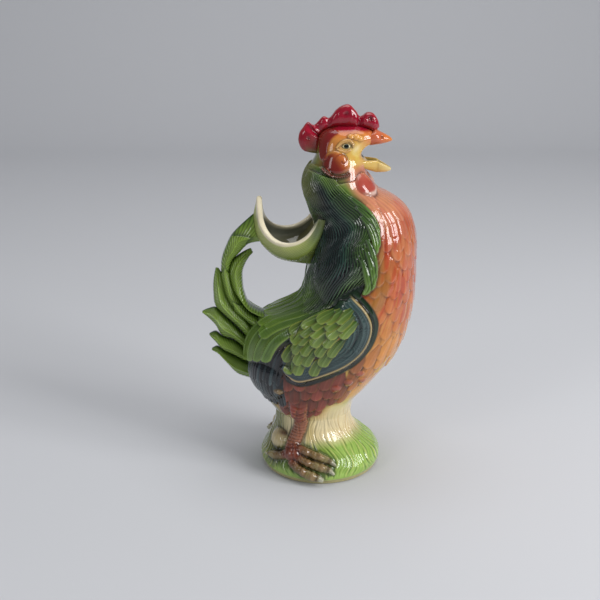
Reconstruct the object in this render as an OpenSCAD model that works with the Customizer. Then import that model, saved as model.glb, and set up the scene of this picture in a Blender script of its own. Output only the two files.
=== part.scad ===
// Rooster pitcher in glazed earthenware.
// Z is up, +X is the side the bird faces, and Y = 0 is its plane of symmetry.
// The origin is the centre of the round resting face.

/* [Overall size] */
// Height from the resting face to the top of the comb
pitcher_height = 340; // [320:2:360]
// Length from the tail tips to the breast
pitcher_length = 196; // [184:2:208]
// Width of the hollow body at the shoulders, feather relief left out
body_width = 108; // [100:2:116]
// Diameter of the round base at its widest
foot_diameter = 113; // [106:1:120]

/* [Pottery] */
// Thickness of the cast wall
wall = 5; // [4:0.5:6]
// Thickness of the slip joint between two pieces
slip_gap = 0.25; // [0.2:0.05:0.4]
// Thickness left at the edge of a relief piece
edge_height = 0.8; // [0.6:0.1:1.2]
// Height of the base slab
slab_height = 4; // [3:0.5:5]
// Depth of the hollow under the base slab
slab_recess = 1.5; // [1:0.25:2]

/* [Feather relief] */
// Thickness of the neck cape
hackle_height = 3; // [2:0.5:4]
// Thickness of the wing's scaled upper part
covert_height = 5.5; // [4:0.5:7]
// Thickness of the wing's long feathers
primary_height = 4; // [3:0.5:5]
// Thickness of the saddle feathers over the rump
saddle_height = 3.5; // [2.5:0.5:4.5]
// Thickness of the thigh
thigh_height = 4.5; // [3:0.5:6]
// Half the thickness of the tail feathers
tail_half = 11; // [9:0.5:13]

/* [Legs] */
// Half the width of a shank
shank_half = 6.75; // [6:0.25:7.5]
// Height of a shank above the base
shank_height = 7; // [6:0.25:8]
// Half the width of a toe
toe_half = 3.8; // [3.2:0.1:4]
// Height of a toe above the base
toe_height = 5; // [4:0.25:6]
// Height of the grassy lump behind a leg
lump_height = 4; // [3:0.5:5]

/* [Head] */
// Half the thickness of the comb
comb_half = 6; // [5:0.25:7]
// Half the width of the beak at its root
beak_half = 9; // [8:0.25:10]
// Height of a cheek lobe
lobe_height = 3; // [2:0.25:4]
// Height of a wattle
wattle_height = 5.5; // [4:0.5:7]
// Height of an eye
eye_height = 1.8; // [1.2:0.2:2.4]

/* [Hidden] */
L = pitcher_length;
H = pitcher_height;
W = body_width;
columns = 36;
shoulder_joint = 9;
neck_joint = 18;
// How far a relief's rounded top has sunk at its edge
edge_round_share = 0.98;
// How far the head's inside may reach towards its middle
head_inside_share = 0.7;

// The bird's skin, one row for each level from the belly joint to the crown.
// Each row gives the back point's x and z, the front point's x and z and the
// half width, as shares of length, height and width, then an egg shape factor.
body_shares = [
    [-0.214, 0.159, 0.145, 0.159, 0.306, 0],
    [-0.250, 0.185, 0.168, 0.197, 0.343, 0.02],
    [-0.291, 0.221, 0.224, 0.235, 0.389, 0.05],
    [-0.332, 0.262, 0.286, 0.279, 0.431, 0.08],
    [-0.357, 0.309, 0.342, 0.321, 0.463, 0.10],
    [-0.357, 0.359, 0.383, 0.365, 0.486, 0.10],
    [-0.327, 0.403, 0.413, 0.412, 0.500, 0.10],
    [-0.265, 0.435, 0.431, 0.459, 0.500, 0.08],
    [-0.189, 0.454, 0.439, 0.503, 0.491, 0.06],
    [-0.122, 0.476, 0.441, 0.541, 0.477, 0.04],
    [-0.082, 0.512, 0.441, 0.579, 0.458, 0.03],
    [-0.069, 0.556, 0.441, 0.615, 0.435, 0.03],
    [-0.056, 0.603, 0.439, 0.650, 0.407, 0.03],
    [-0.046, 0.650, 0.429, 0.685, 0.380, 0.03],
    [-0.041, 0.694, 0.408, 0.718, 0.352, 0.03],
    [-0.051, 0.732, 0.367, 0.747, 0.324, 0.03],
    [-0.071, 0.768, 0.311, 0.768, 0.296, 0.02],
    [-0.082, 0.797, 0.255, 0.785, 0.269, 0],
    [-0.074, 0.826, 0.214, 0.809, 0.245, 0],
    [-0.051, 0.850, 0.194, 0.835, 0.227, 0],
    [-0.033, 0.868, 0.186, 0.856, 0.208, 0],
    [-0.026, 0.885, 0.189, 0.876, 0.194, 0],
    [-0.023, 0.903, 0.204, 0.897, 0.181, 0],
    [-0.015, 0.921, 0.222, 0.918, 0.157, 0],
    [0.005, 0.935, 0.222, 0.932, 0.120, 0],
    [0.046, 0.944, 0.184, 0.943, 0.065, 0],
];
// The base, one row for each level: height as a share of the belly joint's
// height, then how far back, front and side have closed in from the foot's
// radius to the belly joint.
mound_shares = [
    [0.075, 0.07, 0.05, 0.04],
    [0.13, 0, 0, 0],
    [0.24, 0.06, 0.02, 0.07],
    [0.37, 0.30, 0.16, 0.26],
    [0.52, 0.58, 0.48, 0.51],
    [0.67, 0.83, 0.82, 0.77],
    [0.83, 0.96, 0.98, 0.94],
    [1, 1, 1, 1],
];

function blend4(a, b, c, d, f) =
    0.5 * (
        2 * b + (c - a) * f + (2 * a - 5 * b + 4 * c - d) * f * f + (3 * b - a - 3 * c + d) * f * f * f
    );
// A table's row at any level, with a smooth curve through its rows
function level(rows, t) =
    let (last = len(rows) - 1, i = max(0, min(last - 1, floor(t))))
    blend4(rows[max(i - 1, 0)], rows[i], rows[i + 1], rows[min(i + 2, last)], t - i);
function unit(v) = v / norm(v);
function mix(a, b, f) = a + (b - a) * f;

// A point of the bird's skin: angle 0 is the breast, 90 the right side, 180 the back
function bird(a, t) =
    let (r = level(body_shares, t))
    [
        L * (r[0] + r[2]) / 2 + L * (r[2] - r[0]) / 2 * cos(a),
        -W * r[4] * sin(a) * (1 + r[5] * cos(a)),
        H * (r[1] + r[3]) / 2 + H * (r[3] - r[1]) / 2 * cos(a)
    ];
// A point of the base, with the same angles
function base(a, t) =
    let (r = level(mound_shares, t), s = body_shares[0])
    let (back = mix(-foot_diameter / 2, L * s[0], r[1]), front = mix(foot_diameter / 2, L * s[2], r[2]))
    [
        (front + back) / 2 + (front - back) / 2 * cos(a),
        -mix(foot_diameter / 2, W * s[4], r[3]) * sin(a),
        H * s[1] * r[0]
    ];
function skin(on_base, a, t) = on_base ? base(a, t) : bird(a, t);
// The skin's outward direction
function outward(on_base, a, t) =
    unit(cross(
        skin(on_base, a, t + 0.05) - skin(on_base, a, t - 0.05),
        skin(on_base, a + 1, t) - skin(on_base, a - 1, t)
    ));
// A point that stands off the skin by a height
function off_skin(on_base, a, t, height) = skin(on_base, a, t) + height * outward(on_base, a, t);

function quad(a, b, c, d) = [[a, b, c], [a, c, d]];
// Triangles between neighbouring rings of points
function ring_faces(rings, n, closed) = [
    for (k = [0 : rings - (closed ? 1 : 2)], i = [0 : n - 1])
        let (j = (i + 1) % n, m = (k + 1) % rings)
        each quad(k * n + i, k * n + j, m * n + j, m * n + i)
];
// The same for a cast wall of rows outer rings and rows inner rings, with a
// window from column c0 to c1 and from row r0 to r1
function wall_faces(rows, n, closed, c0, c1, r0, r1) = [
    for (k = [0 : 2 * rows - (closed ? 1 : 2)], i = [0 : n - 1])
        let (j = (i + 1) % n, m = (k + 1) % (2 * rows), row = min(k, 2 * rows - 2 - k))
        if (k == rows - 1 || k == 2 * rows - 1 || row < r0 || row >= r1 || !in_window(i, n, c0, c1))
            each quad(k * n + i, k * n + j, m * n + j, m * n + i),
    for (i = [c0 : c1 - 1])
        let (a = (i + n) % n, b = (i + 1 + n) % n, low = 2 * rows - 1 - r0, high = 2 * rows - 1 - r1)
        each concat(
            quad(r0 * n + a, r0 * n + b, low * n + b, low * n + a),
            quad(r1 * n + b, r1 * n + a, high * n + a, high * n + b)
        ),
    for (row = [r0 : r1 - 1])
        let (a = (c0 + n) % n, b = (c1 + n) % n, in0 = 2 * rows - 1 - row, in1 = 2 * rows - 2 - row)
        each concat(
            quad((row + 1) * n + a, row * n + a, in0 * n + a, in1 * n + a),
            quad(row * n + b, (row + 1) * n + b, in1 * n + b, in0 * n + b)
        )
];
function in_window(i, n, c0, c1) = (i >= c0 && i < c1) || (i - n >= c0 && i - n < c1);
// Fans that close the first and the last ring onto the two points after them
function fan_faces(rings, n) = [
    for (i = [0 : n - 1])
        let (j = (i + 1) % n, top = (rings - 1) * n)
        each [[rings * n, j, i], [rings * n + 1, top + i, top + j]]
];
function turned(faces) = [for (f = faces) [f[2], f[1], f[0]]];
function mirrored(points) = [for (p = points) [p[0], -p[1], p[2]]];
function middle(points) = [for (k = [0 : 2]) [for (p = points) p[k]] * [for (p = points) 1 / len(points)]];

// A closed solid; side is 1 for the bird's right and -1 for its left
module solid(points, faces, side = 1) {
    polyhedron(side > 0 ? points : mirrored(points), side > 0 ? faces : turned(faces));
}
// A solid through closed rings of points. The first and the last ring close
// onto the given points, or onto their own middles.
module rings_solid(rings, start = undef, finish = undef) {
    n = len(rings[0]);
    ends = [
        is_undef(start) ? middle(rings[0]) : start,
        is_undef(finish) ? middle(rings[len(rings) - 1]) : finish
    ];
    faces = concat(ring_faces(len(rings), n, false), fan_faces(len(rings), n));
    solid(concat([for (r = rings) each r], ends), turned(faces));
}
// A solid between two grids of points of the same size
module sheet(under, over, rows, cols, side = 1) {
    count = rows * cols;
    faces = [
        for (r = [0 : rows - 2], c = [0 : cols - 2])
            let (a = r * cols + c, b = a + 1, d = a + cols, e = d + 1)
            each concat(quad(a, b, e, d), quad(count + d, count + e, count + b, count + a)),
        for (r = [0 : rows - 2])
            let (a = r * cols, b = a + cols, d = a + cols - 1, e = d + cols)
            each concat(quad(b, count + b, count + a, a), quad(d, count + d, count + e, e)),
        for (c = [0 : cols - 2])
            let (a = c, b = c + 1, d = (rows - 1) * cols + c, e = d + 1)
            each concat(quad(a, count + a, count + b, b), quad(e, count + e, count + d, d))
    ];
    solid(concat(under, over), faces, side);
}
// A relief piece on the skin. Each spot is [angle, level, height].
module relief(on_base, spots, side = 1) {
    under = [for (r = spots, s = r) off_skin(on_base, s[0], s[1], slip_gap)];
    over = [for (r = spots, s = r) off_skin(on_base, s[0], s[1], slip_gap + s[2])];
    sheet(under, over, len(spots), len(spots[0]), side);
}
// A patch between two edges of the skin. Each row is [level, front angle,
// back angle, height share], and the patch is highest at its middle.
function patch_spots(rows, height, across, along) = [
    for (i = [0 : along])
        let (r = level(rows, (len(rows) - 1) * i / along))
        [
            for (k = [0 : across])
                let (u = 2 * k / across - 1)
                [
                    mix(r[1], r[2], k / across),
                    r[0],
                    edge_height + height * r[3] * sqrt(1 - edge_round_share * pow(abs(u), 2.5))
                ]
        ]
];
// A rounded bar along a line on the skin. Each row is [angle, level, half
// width share, height share].
function bar_spots(on_base, rows, half, height, across, along) = [
    for (i = [0 : along])
        let (t = (len(rows) - 1) * i / along, r = level(rows, t))
        let (before = level(rows, t - 0.1), after = level(rows, t + 0.1))
        let (p = skin(on_base, r[0], r[1]), out = outward(on_base, r[0], r[1]))
        let (path = unit(skin(on_base, after[0], after[1]) - skin(on_base, before[0], before[1])))
        let (side_way = unit(cross(path, out)) * half * r[2])
        let (da = skin(on_base, r[0] + 1, r[1]) - p, dt = skin(on_base, r[0], r[1] + 0.1) - p)
        [
            for (k = [0 : across])
                let (u = 2 * k / across - 1, w = side_way * u)
                [
                    r[0] + (w * da) / (da * da),
                    r[1] + 0.1 * (w * dt) / (dt * dt),
                    edge_height + height * r[3] * sqrt(1 - edge_round_share * u * u)
                ]
        ]
];
// A round button on the skin: angle and level of its centre, half sizes in
// angle and level, lean in degrees and height
module button(on_base, a, t, half_a, half_t, lean, height, side = 1) {
    spokes = 14;
    steps = [0.3, 0.6, 0.85, 1];
    flat_spots = [
        for (s = steps, i = [0 : spokes - 1])
            let (g = 360 * i / spokes, u = s * cos(g), v = s * sin(g))
            [
                a + half_a * (u * cos(lean) - v * sin(lean)),
                t + half_t * (u * sin(lean) + v * cos(lean)),
                edge_height + height * sqrt(1 - edge_round_share * s * s)
            ]
    ];
    over = [for (s = flat_spots) off_skin(on_base, s[0], s[1], slip_gap + s[2])];
    under = [
        for (k = [len(steps) - 1 : -1 : 0], i = [0 : spokes - 1])
            let (s = flat_spots[k * spokes + i])
            off_skin(on_base, s[0], s[1], slip_gap)
    ];
    ends = [
        off_skin(on_base, a, t, slip_gap + edge_height + height),
        off_skin(on_base, a, t, slip_gap)
    ];
    rings = 2 * len(steps);
    solid(
        concat(over, under, ends),
        turned(concat(ring_faces(rings, spokes, false), fan_faces(rings, spokes))),
        side
    );
}
// Rings of points where a piece meets the back of the bird, between two levels
function root_ring(t0, t1, half_a, n, size) = [
    for (i = [0 : n - 1])
        let (g = 360 * i / n)
        off_skin(false, 180 - size * half_a * sin(g), mix(t0, t1, (1 - size * cos(g)) / 2), slip_gap)
];
function root_rings(t0, t1, half_a, n) = [for (size = [0.35, 0.7, 1]) root_ring(t0, t1, half_a, n, size)];
function root_start(t0, t1) = off_skin(false, 180, (t0 + t1) / 2, slip_gap);
// A ring of points round an upright feather. Each row gives the x and z of
// the outer edge, the x and z of the inner edge, and the half thickness share.
function feather_ring(r, half, n) = [
    for (i = [0 : n - 1])
        let (g = 360 * i / n, f = (1 - cos(g)) / 2)
        [L * mix(r[0], r[2], f), -half * r[4] * sin(g), H * mix(r[1], r[3], f)]
];
// A tail feather rooted on the bird's back between two levels
module tail_feather(t0, t1, half_a, rows) {
    n = 12;
    rings_solid(
        concat(root_rings(t0, t1, half_a, n), [for (r = rows) feather_ring(r, tail_half, n)]),
        root_start(t0, t1)
    );
}

// Flat slab that closes the base, with the ring the pitcher stands on
module foot_slab() {
    radius = foot_diameter / 2 - 2 * slip_gap - slab_recess;
    color("wheat")
        rotate_extrude($fn = 96)
            polygon([
                [0, slab_recess],
                [radius - 2 * wall, slab_recess],
                [radius - 2 * wall, 0],
                [radius - slab_recess, 0],
                [radius, slab_recess],
                [radius, slab_height],
                [0, slab_height]
            ]);
}
// Hollow grassy base that narrows up to the belly
module grass_base() {
    rows = 9;
    last = len(mound_shares) - 1;
    outer = [
        for (k = [0 : rows - 1], i = [0 : columns - 1])
            let (p = base(360 * i / columns, last * k / (rows - 1)))
            [p[0], p[1], max(p[2], slab_height + slip_gap)]
    ];
    inner = [
        for (k = [rows - 1 : -1 : 0], i = [0 : columns - 1])
            let (t = last * k / (rows - 1), p = base(360 * i / columns, t))
            let (c = (base(0, t) + base(180, t)) / 2)
            let (q = p + wall * unit([c[0] - p[0], c[1] - p[1], 0]))
            [q[0], q[1], max(q[2], slab_height + slip_gap)]
    ];
    color("yellowgreen")
        solid(concat(outer, inner), ring_faces(2 * rows, columns, true));
}
// The share of a level that a slip gap takes up above a joint
function joint_step(t) =
    let (r = body_shares[t], s = body_shares[t + 1])
    slip_gap / (H * min(s[1] - r[1], s[3] - r[3]));
// A hollow length of the body between two levels, with half a level from row to
// row and a window from column c0 to c1 and from row r0 to r1
module body_length(low, high, c0, c1, r0, r1) {
    rows = 2 * (high - low) + 1;
    t_of = [for (k = [0 : rows - 1]) low + (k == 0 ? joint_step(low) : k / 2)];
    outer = [for (t = t_of, i = [0 : columns - 1]) bird(360 * i / columns, t)];
    inner = [
        for (k = [rows - 1 : -1 : 0], i = [0 : columns - 1])
            let (a = 360 * i / columns)
            k == 0 || k == rows - 1 ? level_in(a, t_of[k]) : off_skin(false, a, t_of[k], -wall)
    ];
    solid(concat(outer, inner), wall_faces(rows, columns, true, c0, c1, r0, r1));
}
// Hollow belly, open below and above
module belly_shell() {
    color("darkorange")
        body_length(0, shoulder_joint, 0, 0, 0, 0);
}
// Hollow breast and neck, open below, above and at the filling window
module neck_shell() {
    color("coral")
        body_length(shoulder_joint, neck_joint, 16, 20, 7, 10);
}
// A point of a joint's face, one wall in from the skin
function level_in(a, t) =
    let (p = bird(a, t), c = (bird(0, t) + bird(180, t)) / 2)
    p + wall * unit(c - p);
// Hollow head with the mouth opening between the two halves of the beak
module head_shell() {
    top = len(body_shares) - 1;
    rows = 15;
    gap_step = joint_step(neck_joint);
    t_of = [for (k = [0 : rows - 1]) k == 0 ? neck_joint + gap_step : neck_joint + k / 2];
    outer = [for (t = t_of, i = [0 : columns - 1]) bird(360 * i / columns, t)];
    inner = [
        for (k = [rows - 1 : -1 : 0], i = [0 : columns - 1])
            let (a = 360 * i / columns, t = t_of[k], c = (bird(0, t) + bird(180, t)) / 2, p = bird(a, t))
            let (q = p + min(wall, head_inside_share * norm(c - p)) * unit(c - p))
            [q[0], q[1], min(q[2], H * body_shares[top][1] - wall)]
    ];
    roof = (bird(0, top) + bird(180, top)) / 2;
    ends = [roof - [0, 0, wall], roof];
    faces = [
        for (f = wall_faces(rows, columns, true, -2, 2, 5, 7))
            if (!(min(f) >= (rows - 1) * columns && max(f) < (rows + 1) * columns)) f,
        for (i = [0 : columns - 1])
            let (j = (i + 1) % columns, a = (rows - 1) * columns, b = rows * columns)
            each [[a + i, a + j, 2 * rows * columns + 1], [b + j, b + i, 2 * rows * columns]]
    ];
    color("gold")
        solid(concat(outer, inner, ends), faces);
}

// The filling collar's five curves from the neck to the rim, one row for each
// station from its upper end to its keel. Each row gives the neck angle and
// level, then the x, y and z of a low point, a high point and the rim.
collar_shares = [
    [131, 14.6, 0.008, -0.278, 0.7206, -0.005, -0.280, 0.7226, -0.015, -0.278, 0.7235],
    [137, 14.0, -0.010, -0.292, 0.6942, -0.026, -0.294, 0.6951, -0.038, -0.287, 0.6971],
    [143, 13.5, -0.031, -0.292, 0.6640, -0.054, -0.301, 0.6680, -0.071, -0.296, 0.6735],
    [150, 12.8, -0.071, -0.287, 0.6330, -0.102, -0.306, 0.6440, -0.128, -0.292, 0.6574],
    [158, 12.15, -0.122, -0.241, 0.6120, -0.168, -0.273, 0.6300, -0.194, -0.264, 0.6559],
    [166, 11.7, -0.173, -0.167, 0.6040, -0.230, -0.208, 0.6340, -0.250, -0.204, 0.6721],
    [173, 11.5, -0.204, -0.088, 0.6060, -0.283, -0.116, 0.6529, -0.286, -0.120, 0.7059],
    [180, 11.4, -0.219, 0, 0.6162, -0.309, 0, 0.6824, -0.296, 0, 0.7574],
];
// The neck angles and levels under the collar's inside, one for each station
collar_seats = [
    [139, 14.75], [144.5, 14.2], [150, 13.75], [156, 13.15],
    [163, 12.5], [169.5, 12.1], [175.5, 11.9], [180, 11.8]
];
// The station at the collar's keel, after which the left side mirrors the right
keel = 7;
// A point of the collar's outside: station 0 to twice the keel's round it, 0 to 3
// from neck to rim
function collar(station, t) =
    let (s = station > keel ? 2 * keel - station : station, side = station > keel ? -1 : 1)
    let (r = level(collar_shares, s), p = off_skin(false, r[0], r[1], slip_gap))
    let (points = [for (k = [2 : 3 : 8]) [L * r[k], W * r[k + 1], H * r[k + 2]]])
    let (q = level(concat([p], points), t))
    [q[0], side * q[1], q[2]];
function collar_outward(station, t) =
    unit(cross(
        collar(station, min(t + 0.1, 3)) - collar(station, max(t - 0.1, 0)),
        collar(min(station + 0.2, 2 * keel), t) - collar(max(station - 0.2, 0), t)
    ));
function off_collar(station, t) = collar(station, t) + slip_gap * collar_outward(station, t);
// The same on the inside, one wall away, seated on the neck at its foot
function collar_in(station, t) =
    let (s = station > keel ? 2 * keel - station : station, seat = level(collar_seats, s))
    let (foot = off_skin(false, station > keel ? 360 - seat[0] : seat[0], seat[1], slip_gap))
    t == 0 ? foot : collar(station, t) - wall * collar_outward(station, t);
// Scoop behind the neck that the pitcher is filled through
module filling_collar() {
    cols = 29;
    rows = 8;
    over = [for (k = [0 : rows - 1], i = [0 : cols - 1]) collar(i / 2, 3 * k / (rows - 1))];
    under = [for (k = [0 : rows - 1], i = [0 : cols - 1]) collar_in(i / 2, 3 * k / (rows - 1))];
    color("khaki")
        sheet(over, under, rows, cols);
}

// Upper half of the beak, hooked down at its tip
upper_beak_shares = [
    [0.270, 0.9280, 0.8990, 0.72],
    [0.293, 0.9210, 0.9040, 0.42],
    [0.306, 0.9140, 0.9070, 0.16],
];
module upper_beak() {
    n = 14;
    roots = [
        for (size = [0.35, 0.7, 1])
            [
                for (i = [0 : n - 1])
                    let (g = 360 * i / n)
                    off_skin(false, 26 * size * sin(g), 22.75 + 1.05 * size * cos(g), slip_gap)
            ]
    ];
    rings = [
        for (r = upper_beak_shares)
            [
                for (i = [0 : n - 1])
                    let (g = 360 * i / n, z = H * mix(r[2], r[1], (1 + cos(g)) / 2))
                    [L * r[0], -beak_half * r[3] * sin(g), z]
            ]
    ];
    color("orange")
        rings_solid(concat(roots, rings), off_skin(false, 0, 22.75, slip_gap));
}
// Lower half of the beak, a trough for pouring. Each row gives x, the upper
// edge's z, the keel's z, the trough's z and the half width share.
lower_beak_shares = [
    [0.235, 0.8590, 0.8260, 0.8480, 0.82],
    [0.252, 0.8550, 0.8255, 0.8440, 0.75],
    [0.268, 0.8500, 0.8255, 0.8405, 0.66],
    [0.281, 0.8460, 0.8260, 0.8375, 0.56],
    [0.292, 0.8420, 0.8270, 0.8350, 0.44],
    [0.306, 0.8370, 0.8300, 0.8335, 0.22],
];
// The trough's half width and the lift of its lip
trough_share = 0.68;
trough_lip_share = 0.0005;
module lower_beak() {
    cols = 13;
    rows = len(lower_beak_shares) + 1;
    under = [
        for (k = [0 : rows - 1], i = [0 : cols - 1])
            let (g = 180 * i / (cols - 1), r = lower_beak_shares[max(k - 1, 0)])
            k == 0
                ? off_skin(false, 24 * cos(g), 20.15 - 1.15 * sin(g), slip_gap)
                : [L * r[0], -beak_half * r[4] * cos(g), H * mix(r[1], r[2], sin(g))]
    ];
    over = [
        for (k = [0 : rows - 1], i = [0 : cols - 1])
            let (g = 180 * i / (cols - 1), r = lower_beak_shares[max(k - 1, 0)])
            k == 0
                ? off_skin(false, 17 * cos(g), 20.2 - 0.5 * sin(g), slip_gap)
                : [
                    L * r[0],
                    -beak_half * r[4] * trough_share * cos(g),
                    H * mix(r[1] + trough_lip_share, r[3], sin(g))
                ]
    ];
    color("khaki")
        sheet(over, under, rows, cols);
}

// The comb from the back of the head to the brow. Each row gives the x and z
// of its foot on the crown, the x and z of its edge, and a thickness share.
comb_shares = [
    [-0.034, 0.8745, -0.048, 0.8770, 0.5],
    [-0.029, 0.8830, -0.086, 0.8840, 0.85],
    [-0.0265, 0.8930, -0.104, 0.9040, 1],
    [-0.0255, 0.9040, -0.101, 0.9260, 1],
    [-0.0215, 0.9140, -0.088, 0.9400, 0.9],
    [-0.0145, 0.9240, -0.064, 0.9550, 0.7],
    [-0.007, 0.9310, -0.036, 0.9480, 0.75],
    [0.003, 0.9375, 0.002, 0.9690, 0.65],
    [0.020, 0.9420, 0.030, 0.9660, 0.8],
    [0.046, 0.9460, 0.059, 0.9860, 0.9],
    [0.075, 0.9462, 0.088, 0.9970, 1],
    [0.105, 0.9462, 0.118, 0.9990, 1],
    [0.135, 0.9462, 0.146, 0.9840, 0.9],
    [0.160, 0.9460, 0.166, 0.9700, 0.85],
    [0.184, 0.9452, 0.196, 0.9800, 1],
    [0.204, 0.9415, 0.224, 0.9770, 1],
    [0.218, 0.9365, 0.245, 0.9600, 0.9],
    [0.226, 0.9310, 0.252, 0.9420, 0.5],
];
// Where a section of the comb turns flat on the crown, and its width there
comb_foot_share = -0.8;
comb_flat_share = 0.55;
module comb() {
    n = 10;
    steps = 30;
    rings = [
        for (k = [0 : steps])
            let (r = level(comb_shares, (len(comb_shares) - 1) * k / steps))
            let (foot = [L * r[0], 0, H * r[1]], edge = [L * r[2], 0, H * r[3]])
            let (rise = unit(edge - foot), start = foot + slip_gap * rise)
            [
                for (i = [0 : n - 1])
                    let (g = 360 * i / n)
                    let (on_foot = cos(g) < comb_foot_share, f = on_foot ? 0 : (1 + cos(g)) / 2)
                    let (side_way = on_foot ? comb_flat_share * sign(round(10 * sin(g))) : sin(g))
                    mix(start, edge, f) - [0, comb_half * r[4] * side_way, 0]
            ]
    ];
    color("crimson")
        rings_solid(rings);
}

// Each half of the neck cape, from the head down to the curled feather ends
hackle_shares = [
    [18.2, 98, 172, 0.2],
    [17.4, 78, 175, 0.6],
    [16.4, 80, 176, 0.8],
    [15.7, 77, 172, 0.9],
    [15.2, 76, 152, 1],
    [14.7, 75, 128, 1],
    [14.1, 77, 133, 1],
    [13.5, 79, 139.5, 1],
    [12.8, 86, 146.5, 1],
    [12.2, 84, 153, 1],
    [11.6, 81, 159, 1],
    [11.0, 86, 153, 0.9],
    [10.5, 98, 142, 0.5],
];
module hackle(side) {
    color("darkslategray")
        relief(false, patch_spots(hackle_shares, hackle_height, 11, 21), side);
}
module hackle_right() { hackle(1); }
module hackle_left() { hackle(-1); }

// Scaled upper part of the wing, from the shoulder to its lower edge
covert_shares = [
    [9.4, 96, 113, 0.4],
    [8.9, 88, 122, 0.7],
    [8.2, 82, 128, 0.9],
    [7.4, 78, 129, 1],
    [6.6, 77, 128, 1],
    [5.8, 80, 126, 1],
    [5.1, 88, 121, 0.9],
    [4.6, 100, 110, 0.5],
];
module wing_coverts(side) {
    color("olivedrab")
        relief(false, patch_spots(covert_shares, covert_height, 12, 12), side);
}
module wing_coverts_right() { wing_coverts(1); }
module wing_coverts_left() { wing_coverts(-1); }

// Long wing feathers, swept round the front of the scaled part and back under it
primary_shares = [
    [88, 9.6, 0.4, 0.5],
    [79.5, 8.9, 0.8, 0.8],
    [72.5, 7.7, 1, 1],
    [70, 6.5, 1, 1],
    [73, 5.4, 1, 1],
    [82, 4.6, 1, 1],
    [94, 4.05, 0.95, 1],
    [104, 3.8, 0.8, 0.8],
    [112, 3.8, 0.4, 0.5],
];
// Half the width of the long wing feathers
primary_half_share = 0.052;
module wing_primaries(side) {
    half = W * primary_half_share;
    color("steelblue")
        relief(false, bar_spots(false, primary_shares, half, primary_height, 6, 22), side);
}
module wing_primaries_right() { wing_primaries(1); }
module wing_primaries_left() { wing_primaries(-1); }

// Saddle feathers that fall from the back over the rump
saddle_shares = [
    [9.8, 130, 178, 0.4],
    [9.3, 126, 178.5, 0.6],
    [8.7, 131, 178.5, 0.8],
    [8.0, 133, 178.5, 0.9],
    [7.3, 133, 170, 1],
    [6.6, 132, 166, 1],
    [5.9, 131, 165, 1],
    [5.3, 131, 164, 0.9],
    [4.7, 134, 158, 0.5],
];
module saddle(side) {
    color("forestgreen")
        relief(false, patch_spots(saddle_shares, saddle_height, 10, 14), side);
}
module saddle_right() { saddle(1); }
module saddle_left() { saddle(-1); }

// Feathered thigh under the wing
module thigh(side) {
    color("midnightblue")
        button(false, 139, 3.05, 20, 1.05, 0, thigh_height, side);
}
module thigh_right() { thigh(1); }
module thigh_left() { thigh(-1); }

// Hock that comes out of the belly feathers above the shank
hock_shares = [
    [106, 2.3, 1.5, 0.5],
    [106, 1.7, 1.5, 0.8],
    [106.5, 1.1, 1.25, 0.9],
    [107.5, 0.7, 1.05, 0.9],
    [108, 0.3, 1, 0.9],
];
module hock(side) {
    color("brown")
        relief(false, bar_spots(false, hock_shares, shank_half, shank_height, 8, 8), side);
}
module hock_right() { hock(1); }
module hock_left() { hock(-1); }

// Ringed shank down the side of the base
shank_shares = [
    [108.5, 6.5, 1, 0.9],
    [110.5, 6.2, 0.92, 0.9],
    [113, 5.9, 0.86, 0.95],
    [116, 5.35, 0.86, 1],
    [119, 4.85, 0.92, 1],
    [120.5, 4.4, 1, 1],
];
module shank(side) {
    color("sienna")
        relief(true, bar_spots(true, shank_shares, shank_half, shank_height, 8, 12), side);
}
module shank_right() { shank(1); }
module shank_left() { shank(-1); }

// Ball of the foot, where the shank meets the toes
module foot_ball(side) {
    color("brown")
        button(true, 120.5, 3.55, 7.4, 0.74, 0, shank_height, side);
}
module foot_ball_right() { foot_ball(1); }
module foot_ball_left() { foot_ball(-1); }

// Toes that spread over the grass, each from the ball of the foot to its claw
front_toe_shares = [
    [112, 3.25, 0.95, 1],
    [102, 2.75, 0.95, 0.85],
    [91, 2.35, 0.95, 1],
    [82, 2.15, 0.8, 0.75],
    [77, 1.85, 0.45, 0.35],
];
outer_toe_shares = [
    [116, 2.5, 0.9, 1],
    [108, 2.02, 0.95, 0.85],
    [99, 1.52, 0.95, 1],
    [92, 1.3, 0.8, 0.75],
    [88, 1.05, 0.45, 0.35],
];
inner_toe_shares = [
    [112, 4.0, 1, 0.9],
    [102, 3.75, 0.9, 0.8],
    [91, 3.35, 0.9, 0.9],
    [81, 3.1, 0.8, 0.7],
    [75, 2.8, 0.45, 0.35],
];
hind_toe_shares = [
    [129.5, 3.4, 1, 0.9],
    [137, 2.95, 0.9, 0.8],
    [146, 2.7, 0.8, 0.7],
    [152, 2.4, 0.45, 0.35],
];
module toe(rows, side) {
    color("saddlebrown")
        relief(true, bar_spots(true, rows, toe_half, toe_height, 6, 9), side);
}
module front_toe_right() { toe(front_toe_shares, 1); }
module front_toe_left() { toe(front_toe_shares, -1); }
module outer_toe_right() { toe(outer_toe_shares, 1); }
module outer_toe_left() { toe(outer_toe_shares, -1); }
module inner_toe_right() { toe(inner_toe_shares, 1); }
module inner_toe_left() { toe(inner_toe_shares, -1); }
module hind_toe_right() { toe(hind_toe_shares, 1); }
module hind_toe_left() { toe(hind_toe_shares, -1); }

// Grassy lump on the base behind the leg
module grass_lump(side) {
    color("palegoldenrod")
        button(true, 144, 4.5, 12, 0.95, 0, lump_height, side);
}
module grass_lump_right() { grass_lump(1); }
module grass_lump_left() { grass_lump(-1); }

// Eye
module eye(side) {
    color("black")
        button(false, 84, 22.25, 9.5, 0.36, 0, eye_height, side);
}
module eye_right() { eye(1); }
module eye_left() { eye(-1); }
// Cheek lobe below and behind the eye
module ear_lobe(side) {
    color("firebrick")
        button(false, 97, 19.55, 24, 0.95, 10, lobe_height, side);
}
module ear_lobe_right() { ear_lobe(1); }
module ear_lobe_left() { ear_lobe(-1); }
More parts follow.
